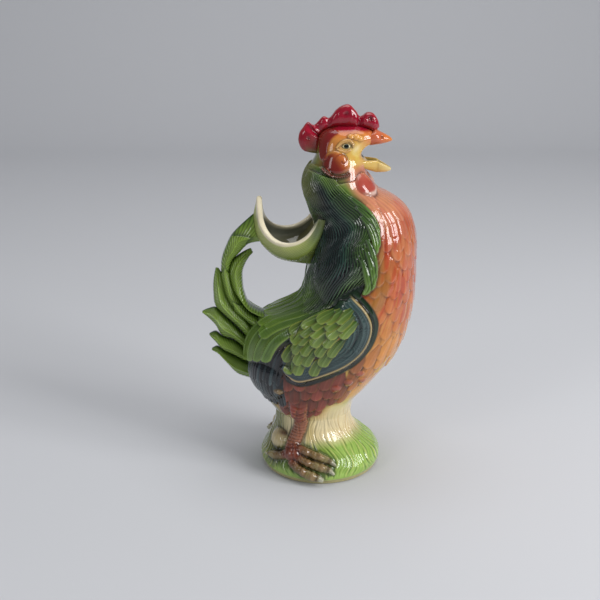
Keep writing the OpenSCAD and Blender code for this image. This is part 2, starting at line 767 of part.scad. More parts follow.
// Wattle under the beak
module wattle(side) {
    color("indianred")
        button(false, 34, 17.75, 27, 0.95, 0, wattle_height, side);
}
module wattle_right() { wattle(1); }
module wattle_left() { wattle(-1); }

// Tail feathers, from the handle down to the lowest covert. Each row gives
// the x and z of the outer edge, the x and z of the inner edge, and the half
// thickness share.
handle_shares = [
    [-0.375, 0.4290, -0.336, 0.4460, 1],
    [-0.415, 0.4530, -0.367, 0.4690, 1],
    [-0.446, 0.4900, -0.397, 0.4990, 1],
    [-0.459, 0.5250, -0.414, 0.5290, 1],
    [-0.465, 0.5580, -0.422, 0.5590, 1],
    [-0.462, 0.5900, -0.410, 0.5870, 1],
    [-0.442, 0.6240, -0.377, 0.6090, 1],
    [-0.404, 0.6640, -0.335, 0.6320, 0.9],
];
module tail_handle() {
    n = 12;
    tops = [
        for (size = [1, 0.7, 0.35])
            [
                for (i = [0 : n - 1])
                    let (g = 360 * i / n)
                    off_collar(keel - 0.75 * size * sin(g), 1.95 + 0.5 * size * cos(g))
            ]
    ];
    color("limegreen")
        rings_solid(
            concat(
                root_rings(5.98, 6.63, 13, n),
                [for (r = handle_shares) feather_ring(r, tail_half, n)],
                tops
            ),
            root_start(5.98, 6.63),
            off_collar(keel, 1.95)
        );
}
module curled_sickle() {
    color("yellowgreen")
        tail_feather(6.67, 7.25, 12, [
            [-0.331, 0.4480, -0.300, 0.4505, 0.95],
            [-0.363, 0.4710, -0.338, 0.4680, 0.9],
            [-0.393, 0.5000, -0.358, 0.5000, 0.85],
            [-0.410, 0.5290, -0.364, 0.5290, 0.8],
            [-0.418, 0.5590, -0.363, 0.5570, 0.75],
            [-0.406, 0.5850, -0.350, 0.5790, 0.65],
            [-0.374, 0.6060, -0.332, 0.5970, 0.5],
            [-0.329, 0.6200, -0.316, 0.6080, 0.2],
        ]);
}
module outer_sickle() {
    color("green")
        tail_feather(5.24, 5.94, 14, [
            [-0.404, 0.4060, -0.379, 0.4260, 1],
            [-0.454, 0.4340, -0.419, 0.4510, 1],
            [-0.497, 0.4620, -0.450, 0.4890, 0.95],
            [-0.504, 0.4980, -0.463, 0.5250, 0.8],
            [-0.502, 0.5300, -0.469, 0.5450, 0.6],
            [-0.490, 0.5640, -0.475, 0.5640, 0.2],
        ]);
}
module upper_covert() {
    color("seagreen")
        tail_feather(4.5, 5.2, 15, [
            [-0.411, 0.3620, -0.402, 0.4020, 1],
            [-0.466, 0.3740, -0.452, 0.4300, 1],
            [-0.499, 0.4040, -0.492, 0.4530, 0.8],
            [-0.533, 0.4250, -0.530, 0.4500, 0.45],
            [-0.558, 0.4370, -0.556, 0.4430, 0.15],
        ]);
}
module middle_covert() {
    color("seagreen")
        tail_feather(3.72, 4.46, 16, [
            [-0.411, 0.3160, -0.409, 0.3580, 1],
            [-0.463, 0.3320, -0.463, 0.3700, 0.95],
            [-0.503, 0.3560, -0.497, 0.3840, 0.65],
            [-0.527, 0.3710, -0.526, 0.3780, 0.18],
        ]);
}
module lower_covert() {
    color("seagreen")
        tail_feather(2.6, 3.68, 17, [
            [-0.394, 0.2600, -0.408, 0.3120, 1],
            [-0.446, 0.2920, -0.459, 0.3280, 0.9],
            [-0.486, 0.3170, -0.492, 0.3400, 0.6],
            [-0.517, 0.3270, -0.517, 0.3340, 0.18],
        ]);
}

foot_slab();
grass_base();
belly_shell();
neck_shell();
head_shell();
filling_collar();
upper_beak();
lower_beak();
comb();
eye_right();
eye_left();
ear_lobe_right();
ear_lobe_left();
wattle_right();
wattle_left();
hackle_right();
hackle_left();
wing_coverts_right();
wing_coverts_left();
wing_primaries_right();
wing_primaries_left();
saddle_right();
saddle_left();
thigh_right();
thigh_left();
hock_right();
hock_left();
shank_right();
shank_left();
foot_ball_right();
foot_ball_left();
front_toe_right();
front_toe_left();
outer_toe_right();
outer_toe_left();
inner_toe_right();
inner_toe_left();
hind_toe_right();
hind_toe_left();
grass_lump_right();
grass_lump_left();
tail_handle();
curled_sickle();
outer_sickle();
upper_covert();
middle_covert();
lower_covert();
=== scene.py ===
# %% [markdown]
# # A rooster pitcher in coloured glazes
#
# The object is a hollow earthenware bird. It is cast in a plaster mould, so every
# feather is low relief on one smooth skin, and it is painted with coloured glazes
# that run a little in the kiln. They pool dark in the grooves and thin out pale on
# the edges.
#
# The script follows the potter. First comes the smooth skin, then broad forms such
# as the wing and the legs, then the feathers, then the colours, then the glaze.
# Each surface is a grid of points worked out with numpy.

# %% Load the frame
import math

import bpy
import numpy as np
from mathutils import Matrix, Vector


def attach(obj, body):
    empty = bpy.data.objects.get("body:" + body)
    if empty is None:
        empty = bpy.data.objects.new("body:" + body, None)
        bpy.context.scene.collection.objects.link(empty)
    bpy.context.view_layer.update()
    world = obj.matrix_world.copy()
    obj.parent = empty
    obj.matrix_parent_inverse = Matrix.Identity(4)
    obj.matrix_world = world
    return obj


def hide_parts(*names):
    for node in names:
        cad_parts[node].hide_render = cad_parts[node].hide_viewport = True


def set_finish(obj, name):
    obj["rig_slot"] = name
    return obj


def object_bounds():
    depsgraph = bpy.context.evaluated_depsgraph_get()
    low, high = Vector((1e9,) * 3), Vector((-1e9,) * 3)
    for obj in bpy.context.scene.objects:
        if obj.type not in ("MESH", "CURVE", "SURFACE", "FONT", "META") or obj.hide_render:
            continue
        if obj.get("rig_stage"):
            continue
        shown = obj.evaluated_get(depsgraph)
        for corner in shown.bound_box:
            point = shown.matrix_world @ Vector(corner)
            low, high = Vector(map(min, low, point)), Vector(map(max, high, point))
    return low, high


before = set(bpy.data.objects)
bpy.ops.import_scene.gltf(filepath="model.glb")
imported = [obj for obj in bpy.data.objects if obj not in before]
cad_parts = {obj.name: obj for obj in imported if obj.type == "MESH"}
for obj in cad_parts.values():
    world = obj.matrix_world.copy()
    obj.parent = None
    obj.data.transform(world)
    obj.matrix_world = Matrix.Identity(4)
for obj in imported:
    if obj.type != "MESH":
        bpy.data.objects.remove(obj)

cad_low, cad_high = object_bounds()
print("CAD box, in metres:", [round(v, 4) for v in cad_low], [round(v, 4) for v in cad_high])

# %% [markdown]
# ## Sizes
#
# A few sizes drive everything, as they do on a drawing. The tables further down
# hold shares of the length, height and width, so the whole bird follows when one of
# these changes. Blender works in metres.

# %% Driving sizes
PITCHER_HEIGHT = 0.340
PITCHER_LENGTH = 0.196
BODY_WIDTH = 0.108
FOOT_DIAMETER = 0.113
WALL = 0.005
TAIL_HALF = 0.011
COMB_HALF = 0.006
BEAK_HALF = 0.009
MM = 0.001

DETAIL = 1.0
COLUMNS = int(384 * DETAIL)
BASE_LEVELS = 7
SHOULDER_LEVEL = 9
NECK_LEVEL = 18
CROWN_LEVEL = 26
print("points round half the bird:", COLUMNS + 1)

# %% [markdown]
# ## The skin
#
# Each row of the table is one slice through the bird, from the belly up to the
# crown: where its back and front points lie, and how wide it is. A smooth curve
# through the rows gives a slice at any level, and an angle runs round the slice from
# the breast (0) over the right side (90) to the back (180). So a place on the bird is
# two numbers, an angle and a level, and the grassy base goes on below level 0.

# %% The table of slices
# Back point's x and z, front point's x and z, half width, and an egg shape factor.
BODY_SHARES = np.array([
    [-0.214, 0.159, 0.145, 0.159, 0.306, 0],
    [-0.250, 0.185, 0.168, 0.197, 0.343, 0.02],
    [-0.291, 0.221, 0.224, 0.235, 0.389, 0.05],
    [-0.332, 0.262, 0.286, 0.279, 0.431, 0.08],
    [-0.357, 0.309, 0.342, 0.321, 0.463, 0.10],
    [-0.357, 0.359, 0.383, 0.365, 0.486, 0.10],
    [-0.327, 0.403, 0.413, 0.412, 0.500, 0.10],
    [-0.265, 0.435, 0.431, 0.459, 0.500, 0.08],
    [-0.189, 0.454, 0.439, 0.503, 0.491, 0.06],
    [-0.122, 0.476, 0.441, 0.541, 0.477, 0.04],
    [-0.082, 0.512, 0.441, 0.579, 0.458, 0.03],
    [-0.069, 0.556, 0.441, 0.615, 0.435, 0.03],
    [-0.056, 0.603, 0.439, 0.650, 0.407, 0.03],
    [-0.046, 0.650, 0.429, 0.685, 0.380, 0.03],
    [-0.041, 0.694, 0.408, 0.718, 0.352, 0.03],
    [-0.051, 0.732, 0.367, 0.747, 0.324, 0.03],
    [-0.071, 0.768, 0.311, 0.768, 0.296, 0.02],
    [-0.082, 0.797, 0.255, 0.785, 0.269, 0],
    [-0.074, 0.826, 0.214, 0.809, 0.245, 0],
    [-0.051, 0.850, 0.194, 0.835, 0.227, 0],
    [-0.033, 0.868, 0.186, 0.856, 0.208, 0],
    [-0.026, 0.885, 0.189, 0.876, 0.194, 0],
    [-0.023, 0.903, 0.204, 0.897, 0.181, 0],
    [-0.015, 0.921, 0.222, 0.918, 0.157, 0],
    [0.005, 0.935, 0.222, 0.932, 0.120, 0],
    [0.046, 0.944, 0.184, 0.943, 0.065, 0],
    [0.080, 0.947, 0.150, 0.947, 0, 0],
])
# The base: height as a share of the belly joint's, then how far its back, front
# and side have closed in from the foot to the belly.
MOUND_SHARES = np.array([
    [0.075, 0.07, 0.05, 0.04],
    [0.13, 0, 0, 0],
    [0.24, 0.06, 0.02, 0.07],
    [0.37, 0.30, 0.16, 0.26],
    [0.52, 0.58, 0.48, 0.51],
    [0.67, 0.83, 0.82, 0.77],
    [0.83, 0.96, 0.98, 0.94],
    [1, 1, 1, 1],
])


def smooth_curve(a, b, c, d, f):
    """The Catmull-Rom curve a share f of the way from b to c. It passes through every point it is given,
    and its slope at each is half the step from the one before to the one after."""
    return 0.5 * (2 * b + (c - a) * f + (2 * a - 5 * b + 4 * c - d) * f**2 + (3 * b - a - 3 * c + d) * f**3)


def level(rows, t):
    """The table's row at any level t, on the smooth curve through its rows."""
    rows = np.asarray(rows, float)
    t = np.asarray(t, float)
    last = len(rows) - 1
    i = np.clip(np.floor(t).astype(int), 0, last - 1)
    f = (t - i).reshape(t.shape + (1,) * (rows.ndim - 1))
    return smooth_curve(*(rows[np.clip(i + k, 0, last)] for k in (-1, 0, 1, 2)), f)


def mix(a, b, f):
    """a where f is 0, b where f is 1, and a straight blend between."""
    return a + (b - a) * f


def unit(v):
    """Each vector divided by its own length."""
    return v / np.maximum(np.linalg.norm(v, axis=-1, keepdims=True), 1e-12)


def ease(x):
    """0 below 0, 1 above 1, and a smooth S between: 3x squared minus 2x cubed."""
    x = np.clip(x, 0, 1)
    return x * x * (3 - 2 * x)


def skin(angle, lev):
    """A point of the smooth skin. Each slice is an ellipse: the middle of its back and front points,
    plus cosine times half the way between them, and sine times the half width to the side."""
    angle, lev = np.broadcast_arrays(np.asarray(angle, float), np.asarray(lev, float))
    cosine, sine = np.cos(np.radians(angle)), np.sin(np.radians(angle))
    r = np.moveaxis(level(BODY_SHARES, np.maximum(lev, 0)), -1, 0)
    egg = 1 + r[5] * cosine
    bird = np.stack([
        PITCHER_LENGTH * mix((r[0] + r[2]) / 2, r[2], cosine),
        -BODY_WIDTH * r[4] * sine * egg,
        PITCHER_HEIGHT * mix((r[1] + r[3]) / 2, r[3], cosine),
    ], -1)
    m = np.moveaxis(level(MOUND_SHARES, np.minimum(lev, 0) + BASE_LEVELS), -1, 0)
    belly = BODY_SHARES[0]
    back = mix(-FOOT_DIAMETER / 2, PITCHER_LENGTH * belly[0], m[1])
    front = mix(FOOT_DIAMETER / 2, PITCHER_LENGTH * belly[2], m[2])
    side = mix(FOOT_DIAMETER / 2, BODY_WIDTH * belly[4], m[3])
    base = np.stack([
        mix((front + back) / 2, front, cosine),
        -side * sine,
        PITCHER_HEIGHT * belly[1] * m[0],
    ], -1)
    return np.where(lev[..., None] < 0, base, bird)


def outward(angle, lev):
    """The skin's outward direction: the cross product of the way up and the way round."""
    angle, lev = np.broadcast_arrays(np.asarray(angle, float), np.asarray(lev, float))
    lev = np.clip(lev, 0.06 - BASE_LEVELS, CROWN_LEVEL - 0.3)
    up = skin(angle, lev + 0.05) - skin(angle, lev - 0.05)
    round_it = skin(angle + 1, lev) - skin(angle - 1, lev)
    return unit(np.cross(up, round_it))


# %% [markdown]
# ## Openings
#
# The pitcher is filled through a window in the neck behind the collar, and it pours
# through the open beak. Both are real holes: their faces are left out of the grid,
# the wall's thickness is built round them, and a lining closes the inside. A hole in
# a grid has square corners, so the grid is bent near it: squares round the hole's
# middle become ellipses, and the bend dies away outside.

# %% Openings as ranges of angle and level
# Angles run from the seam to HOLE_HALF degrees on each side, and a degree past it.
HOLE_HALF = 21
WINDOW = {"angles": (180 - HOLE_HALF, 181), "levels": (12.4, 14.1)}
MOUTH = {"angles": (-1, HOLE_HALF), "levels": (20.4, 21.55)}


def opened(angle, lev):
    """True where a place lies in one of the two openings."""
    result = np.zeros(np.broadcast(angle, lev).shape, bool)
    for hole in (WINDOW, MOUTH):
        a0, a1 = hole["angles"]
        l0, l1 = hole["levels"]
        result |= (angle > a0) & (angle < a1) & (lev > l0) & (lev < l1)
    return result


def rounded(angle, lev):
    """Bends angle and level so that each opening is an ellipse. With p and q the shares of the half
    width and half height, each is multiplied by max(p, q) over the root of p squared plus q squared."""
    angle, lev = (np.array(part, float) for part in np.broadcast_arrays(angle, lev))
    for hole, seam in ((WINDOW, 180), (MOUTH, 0)):
        half_tall = (hole["levels"][1] - hole["levels"][0]) / 2
        middle = sum(hole["levels"]) / 2
        p = (angle - seam) / HOLE_HALF
        q = (lev - middle) / half_tall
        longest = np.maximum(np.abs(p), np.abs(q))
        pull = mix(longest / np.maximum(np.hypot(p, q), 1e-9), 1, ease((longest - 1) / 1.2))
        angle = np.where(longest < 2.2, seam + HOLE_HALF * p * pull, angle)
        lev = np.where(longest < 2.2, middle + half_tall * q * pull, lev)
    return angle, lev

# %% [markdown]
# ## A canvas to model and paint on
#
# The canvas is a fine grid over the bird's right half. Every point knows its place,
# and gets a height above the skin and a colour. The left half is its mirror image,
# because the photograph shows only the right, and the two meet where a real mould
# has its seam.

# %% Lay out the canvas
base_levels = np.linspace(-BASE_LEVELS, 0, int(110 * DETAIL) + 1)
belly_levels = np.linspace(0, SHOULDER_LEVEL, int(230 * DETAIL) + 1)
neck_levels = np.linspace(SHOULDER_LEVEL, NECK_LEVEL, int(230 * DETAIL) + 1)
head_levels = np.linspace(NECK_LEVEL, CROWN_LEVEL, int(190 * DETAIL) + 1)
row_levels = np.concatenate([base_levels, belly_levels[1:], neck_levels[1:], head_levels[1:]])
base_rows = len(base_levels)
belly_rows = base_rows + len(belly_levels) - 1
neck_rows = belly_rows + len(neck_levels) - 1
square_angle, square_level = np.meshgrid(np.linspace(0, 180, COLUMNS + 1), row_levels)
grid_angle, grid_level = rounded(square_angle, square_level)
grid_shape = grid_angle.shape
canvas = {
    "angle": grid_angle.ravel(),
    "level": grid_level.ravel(),
    "place": skin(grid_angle, grid_level).reshape(-1, 3),
    "form": np.zeros(grid_angle.size),
    "relief": np.zeros(grid_angle.size),
    "colour": np.zeros((grid_angle.size, 3)),
}
print("canvas of", grid_shape[0], "rows and", grid_shape[1], "columns")

# %% [markdown]
# ## Glaze colours
#
# Majolica glazes are few: each is a metal oxide in the same clear glass. Copper
# gives the greens, iron the honey and brown, cobalt the near black blue, and a
# tin and chrome stain gives the reds. They are named here once and mixed later.


# %% Glaze colours
def glaze(red, green, blue):
    """A colour as a screen shows it, 0 to 255, turned into light: each share to the power 2.2."""
    return (np.array([red, green, blue]) / 255) ** 2.2


CREAM = glaze(232, 214, 166)
HONEY = glaze(222, 168, 84)
YELLOW = glaze(216, 188, 88)
SALMON = glaze(200, 128, 98)
ORANGE = glaze(208, 116, 54)
ORANGE_RED = glaze(178, 66, 32)
CORAL = glaze(184, 84, 70)
CHERRY = glaze(118, 28, 26)
CRIMSON = glaze(150, 24, 46)
RUST = glaze(126, 60, 44)
UMBER = glaze(58, 38, 28)
LIME = glaze(148, 174, 74)
LEAF = glaze(86, 122, 46)
OLIVE = glaze(116, 120, 62)
BOTTLE = glaze(32, 56, 32)
GRASS = glaze(158, 192, 92)
TEAL = glaze(46, 78, 76)
SLATE = glaze(84, 104, 108)
NAVY = glaze(11, 14, 23)
TAN = glaze(178, 150, 104)
PEARL = glaze(226, 222, 204)
GREY = glaze(150, 150, 142)

# %% [markdown]
# ## The first coat
#
# Before the feathers, the whole skin gets its broad colours. Each row of the table
# gives a level and the colours of the breast, the side and the back there. They
# blend into each other round the bird, as glazes do where two brush strokes meet.

# %% The first coat
FIRST_COAT = [
    (-7.0, mix(OLIVE, CREAM, 0.4), mix(OLIVE, CREAM, 0.4), OLIVE),
    (-6.7, mix(LIME, CREAM, 0.5), mix(LIME, CREAM, 0.5), OLIVE),
    (-6.3, GRASS, GRASS, LIME),
    (-4.0, GRASS, GRASS, OLIVE),
    (-2.8, GRASS, LIME, OLIVE),
    (-1.8, CREAM, CREAM, OLIVE),
    (0.0, CREAM, CREAM, OLIVE),
    (1.2, CREAM, HONEY, OLIVE),
    (2.0, HONEY, RUST, NAVY),
    (4.0, ORANGE, RUST, BOTTLE),
    (6.0, ORANGE, BOTTLE, LEAF),
    (9.0, ORANGE_RED, BOTTLE, LEAF),
    (12.0, ORANGE_RED, NAVY, LEAF),
    (15.0, SALMON, NAVY, OLIVE),
    (17.3, SALMON, LEAF, OLIVE),
    (18.6, CORAL, OLIVE, OLIVE),
    (19.6, CORAL, CHERRY, OLIVE),
    (20.6, HONEY, HONEY, OLIVE),
    (22.5, HONEY, HONEY, RUST),
    (23.8, ORANGE, ORANGE, CRIMSON),
    (24.5, CRIMSON, CRIMSON, CRIMSON),
    (26.0, CRIMSON, CRIMSON, CRIMSON),
]


def blend_coat(rows, angle, lev):
    """The table's colours at each level by straight blends, then front to side to back by angle."""
    at = np.array([row[0] for row in rows])
    columns = [
        np.stack([np.interp(lev, at, [row[k][c] for row in rows]) for c in range(3)], -1)
        for k in (1, 2, 3)
    ]
    to_side = ease((angle - 62) / 22)[:, None]
    to_back = ease((angle - 118) / 40)[:, None]
    return mix(mix(columns[0], columns[1], to_side), columns[2], to_back)


canvas["colour"][:] = blend_coat(FIRST_COAT, canvas["angle"], canvas["level"])
print("first coat on", len(canvas["colour"]), "points")

# %% [markdown]
# ## Tools for the relief
#
# Everything raised follows a line on the skin: a feather's quill, a toe, a lock of
# the cape. The first tool finds, for every canvas point near such a line, how far
# along and how far beside it the point lies. The others use those two numbers: one
# raises a rounded bar, one a mound, and one lays a feather over what is there.


# %% Distance along and beside a line
def beside_line(spots, reach):
    """For a line through (angle, level) spots: the canvas points within reach, how far along it and how
    far to its side each lies in metres, and its length. Each point takes its nearest sample of the
    line, and its offset from there is split into the way along and the way across."""
    spots = np.asarray(spots, float)
    t = np.linspace(0, len(spots) - 1, 10 * len(spots) + 12)
    fine = level(spots, t)
    line = skin(fine[:, 0], fine[:, 1])
    run = np.concatenate([[0], np.cumsum(np.linalg.norm(np.diff(line, axis=0), axis=1))])
    way = unit(np.gradient(line, axis=0))
    side = unit(np.cross(outward(fine[:, 0], fine[:, 1]), way))
    place = canvas["place"]
    inside = np.flatnonzero(((place > line.min(0) - reach) & (place < line.max(0) + reach)).all(1))
    gap = place[inside, None] - line[None]
    near = (gap**2).sum(-1).argmin(1)
    rest = gap[np.arange(len(inside)), near]
    along = run[near] + (rest * way[near]).sum(-1)
    across = (rest * side[near]).sum(-1)
    return inside, along, across, run[-1]


# %% Raise a bar, a mound, or lay a feather
def stain(inside, colour, amount):
    """Blends a colour over some canvas points."""
    paint = canvas["colour"]
    paint[inside] = mix(paint[inside], colour, np.clip(amount, 0, 1)[:, None])


def raise_bar(spots, halves, height, colour=None, rings=0.0, pitch=2.6 * MM, soft=0.6 * MM, fade=0.001):
    """A rounded bar along a line: its height is the root of 1 minus (share of the half width) squared.
    halves holds the half width at evenly spaced places, and rings cuts it into ring scales. It grows out
    of the skin over its first share, fade."""
    halves = np.asarray(halves, float)
    inside, along, across, length = beside_line(spots, halves.max() * 1.5)
    s = np.clip(along / length, 0, 1)
    half = np.interp(s, np.linspace(0, 1, len(halves)), halves)
    over = np.maximum(np.maximum(-along, along - length), 0)
    u = np.hypot(across, over) / half
    bulge = height * np.sqrt(np.clip(1 - u**2, 0, 1))
    if rings:
        turn = (along / pitch + 0.35 * u**2) % 1
        bulge = bulge + rings * (np.sqrt(np.clip(1 - (2 * turn - 1) ** 2, 0, 1)) - 0.7) * (u < 1)
    start = ease((along / length + 0.25 * fade) / fade)
    canvas["form"][inside] = np.maximum(canvas["form"][inside], bulge * start)
    if colour is not None:
        stain(inside, colour, start * ease((1 - u) * half / soft + 0.6))
    return inside, s, u


def around(angle, lev, reach):
    """Canvas points near a place: which they are, and how far forward and up they lie in metres."""
    centre = skin(angle, lev)
    gap = canvas["place"] - centre
    inside = np.flatnonzero((gap**2).sum(-1) < reach**2)
    out = outward(angle, lev)
    up = unit(np.array([0, 0, 1.0]) - out[2] * out)
    forward = np.cross(out, -up)
    return inside, gap[inside] @ forward, gap[inside] @ up


def raise_mound(angle, lev, half_forward, half_up, height, bend, stained=None, lean=0.0, power=2.0):
    """A dome over an oval, with its sizes in millimetres: height times (1 minus the distance share to a
    power) to the bend, so a half gives a round dome with a clear edge, and 1 a swelling that fades out.
    stained gives a colour, its amount, the share where it ends and the share that it fades over."""
    half_forward, half_up, height = half_forward * MM, half_up * MM, height * MM
    inside, forward, up = around(angle, lev, 1.2 * max(half_forward, half_up))
    c, s = math.cos(math.radians(lean)), math.sin(math.radians(lean))
    x, y = (forward * c + up * s) / half_forward, (up * c - forward * s) / half_up
    r = np.hypot(x, y)
    dome = height * np.clip(1 - r**power, 0, 1) ** bend
    canvas["form"][inside] = np.maximum(canvas["form"][inside], dome)
    if stained is not None:
        colour, amount, end, fade = stained
        stain(inside, colour, amount * ease((end - r) / fade))
    return inside, x, y, r


def lay_feather(spots, half, lift, root, tip, barb=0.25, pitch=1.5 * MM, slant=0.8, rib=0.2,
                round_tip=1.0, root_width=0.55, soft=0.45 * MM, rim=None, crown=0.35, sink=0.0, hold=1.0):
    """Lays a feather over the relief. Its outline widens from the root and closes in a round tip. Its
    height grows from the root to the free tip, is fuller in the middle, and carries slanted barbs and
    a rib. Where its cover is 1 it hides what lies below; across its edge the cover falls to 0."""
    inside, along, across, length = beside_line(spots, half * 1.25)
    s = along / length
    tip_start = 1 - round_tip * half / length
    closing = np.clip((s - tip_start) / (1 - tip_start), 0, 1)
    width = half * mix(root_width, 1, ease(s / 0.45)) * np.sqrt(np.clip(1 - closing**2.2, 0, 1))
    u = np.abs(across) / np.maximum(width, 0.02 * half)
    cover = ease((width - np.abs(across)) / soft) * ease(s / 0.06 + 0.3) * (s <= 1.02) * hold
    swell = lift * (sink + (1 - sink) * np.clip(s, 0, 1)) + lift * crown * (1 - np.minimum(u, 1) ** 2)
    stripe = 0.5 + 0.5 * np.cos(2 * math.pi * (along - slant * np.abs(across)) / pitch)
    stripe = stripe * ease((1.02 - s) / 0.14)
    edge_fade = ease((1.05 - u) / 0.3)
    height = swell - lift * barb * stripe * ease(u / 0.2) * edge_fade
    height = height + lift * rib * np.exp(-((across / (0.09 * half + 0.2 * MM)) ** 2))
    f = np.clip(s, 0, 1)[:, None]
    colour = mix(root, tip, f)
    colour = colour * (1 - 0.60 * barb * (stripe * ease(u / 0.15))[:, None])
    if rim is not None:
        colour = mix(colour, rim, 0.75 * ease((u - 0.62) / 0.3)[:, None])
    relief, paint = canvas["relief"], canvas["colour"]
    relief[inside] = mix(relief[inside], height, cover)
    paint[inside] = mix(paint[inside], colour, cover[:, None])


def tint(angle, lev, half_angle, half_level, colour, amount=1.0):
    """Airbrushed colour round a place: its strength falls off as a bell curve."""
    d = ((canvas["angle"] - angle) / half_angle) ** 2 + ((canvas["level"] - lev) / half_level) ** 2
    wash(colour, amount * np.exp(-d))


def wash(colour, amount):
    """Blends a colour over the canvas by an amount at each point."""
    canvas["colour"][:] = mix(canvas["colour"], colour, np.clip(amount, 0, 1)[:, None])


def wobble(seed, scale=1.0):
    """A repeatable number between minus and plus scale."""
    return scale * math.sin(12.9898 * seed + 4.1414 * seed * seed)


def drift(seed, across, upward):
    """Soft blotches between -1 and 1 over the canvas, about across degrees wide and upward levels
    tall: nine bent waves in turned directions, each set of three finer than the last."""
    a, lev = canvas["angle"] / across, canvas["level"] / upward
    total = np.zeros(len(a))
    for k in range(3):
        grow = 1.9**k
        for j in range(3):
            turn = wobble(seed + 5 * k + 11 * j, math.pi)
            main = a * math.cos(turn) + lev * math.sin(turn)
            cross = lev * math.cos(turn) - a * math.sin(turn)
            total += np.sin(grow * 2.2 * main + 3 * turn + 1.7 * np.sin(grow * 0.8 * cross + turn)) / 1.7**k
    return np.tanh(total / 2)


# %% [markdown]
# ## The breast
#
# The breast is covered with large soft feathers in salmon and orange red, which fade
# out towards the throat. Feathers lie like roof tiles, so the lowest row is laid
# first and each higher row covers the roots of the one below. Then streaks of red
# and a yellow green haze near the wing are washed over them.

# %% Breast feathers
BREAST_COLOURS = [
    (3.5, HONEY, YELLOW), (5.5, ORANGE, HONEY), (7.5, mix(ORANGE_RED, ORANGE, 0.5), ORANGE),
    (9.5, ORANGE_RED, mix(ORANGE_RED, ORANGE, 0.6)), (12.5, ORANGE_RED, mix(ORANGE_RED, SALMON, 0.6)),
    (14.5, mix(CORAL, SALMON, 0.5), SALMON), (17.5, SALMON, CORAL),
]


def colour_at(table, lev):
    """The two colours of a table at a level, by straight blends between its rows."""
    at = [row[0] for row in table]
    return tuple(
        np.array([np.interp(lev, at, [row[k][c] for row in table]) for c in range(3)]) for k in (1, 2)
    )


def breast_feathers():
    """Rows of feathers from the belly to the throat, every second row shifted by half a feather."""
    count = 0
    half = 7.4 * MM
    for k, lev in enumerate(np.arange(4.3, 15.0, 0.86)):
        low, high = colour_at(BREAST_COLOURS, lev)
        fade = float(ease((15.6 - lev) / 4.5))
        step = 1.7 * half / np.linalg.norm(skin(45, lev) - skin(44, lev))
        for j, angle in enumerate(np.arange(step / 2 * (k % 2), 88, step)):
            loose = angle > 4
            side = angle + wobble(k * 13 + j, 3.0) * loose
            at = lev + wobble(7 * j + k, 0.24) * loose
            spots = [(side, at + 0.8), (side + 1.2 * loose, at), (side, at - 0.85)]
            tone = mix(low, high, 0.45 + 0.4 * wobble(j + 3 * k))
            lay_feather(
                spots, half * (1 + wobble(3 * j + k, 0.08)), mix(0.2, 0.85, fade) * MM,
                mix(tone, CHERRY, 0.25 * fade), mix(tone, high, 0.6), barb=0.2 * fade, pitch=2.4 * MM,
                slant=2.4, rib=0.0, soft=2.2 * MM, round_tip=1.3, rim=mix(tone, YELLOW, 0.2), crown=0.5,
            )
            count += 1
    return count


def breast_wash():
    """Vertical streaks of red, the green haze beside the wing and cape, and fine grooves on the throat."""
    a, lev = canvas["angle"], canvas["level"]
    breast = ease((92 - a) / 12) * ease((lev - 3.2) / 1.5) * ease((17.5 - lev) / 1.5)
    streaks = ease(1.3 * drift(3, 6, 2.8)) * ease((15.8 - lev) / 3) * ease((lev - 5.5) / 2)
    wash(mix(ORANGE_RED, CHERRY, 0.15), 0.75 * breast * streaks)
    wash(mix(SALMON, HONEY, 0.5), 0.25 * breast * ease(1.3 * drift(21, 9, 1.5)))
    haze = ease((a - 46) / 26) * ease((14.5 - lev) / 2.5) * ease((lev - 4.6) / 1.5)
    wash(mix(OLIVE, ORANGE, 0.3), 0.6 * breast * haze * ease(0.45 + 0.6 * drift(8, 13, 1.7)))
    grooves = np.sin(np.radians(a * 50 + 40 * np.sin(0.9 * lev)))
    canvas["relief"] += 0.13 * MM * grooves * breast * ease((lev - 10.5) / 3)


print("breast feathers:", breast_feathers())
breast_wash()

# %% [markdown]
# ## Grass
#
# Grass blades fan out from the stem as shallow grooves. Many blades are one formula:
# two waves round the base whose crests lean and wander a little, which never repeat
# exactly. On the stem they turn into long streaks, honey in front and olive behind.

# %% Grass


def grass():
    """Groove depth is a wave over the angle, bent by slow waves of the level, strongest half way down."""
    a, lev = canvas["angle"], canvas["level"]
    lean = 2.4 * np.sin(0.9 * lev + 0.07 * a) + 1.2 * np.sin(2.1 * lev - 0.13 * a)
    blades = np.sin(np.radians((a + lean) * 58)) * (0.65 + 0.35 * np.sin(0.9 * lev + 0.31 * a))
    wave = blades + 0.55 * np.sin(np.radians((a + 1.6 * lean) * 93 + 40))
    where = ease((lev + 6.7) / 1.6) * ease((1.2 - lev) / 1.4)
    hollow, crest = ease((-wave - 0.1) / 1.1) * where, ease((wave - 0.4) / 0.9) * where
    mound = ease((-1.4 - lev) / 1.4)
    stem = ease((lev + 3.0) / 1.2)
    canvas["relief"] += mix(0.26, 0.2, stem) * MM * wave * where
    wash(LEAF, 0.55 * hollow * mound * ease(0.8 + drift(4, 14, 1.4)))
    wash(mix(OLIVE, BOTTLE, 0.5), 0.65 * hollow * stem * ease((a - 58) / 60))
    wash(HONEY, 0.5 * hollow * stem * ease((75 - a) / 40))
    wash(mix(YELLOW, CREAM, 0.4), 0.4 * crest * mound)
    wash(mix(BOTTLE, OLIVE, 0.4), 0.45 * ease(drift(12, 16, 1.5)) * mound * ease((a - 84) / 40))
    wash(mix(GRASS, LEAF, 0.55), 0.35 * ease(drift(31, 20, 1.2)) * mound)


grass()

# %% [markdown]
# ## Legs and toes
#
# A ringed leg runs down the stem, and its toes spread over the grass with knuckles
# and a pale claw each. They are full round bars on the skin, as they are in the mould.

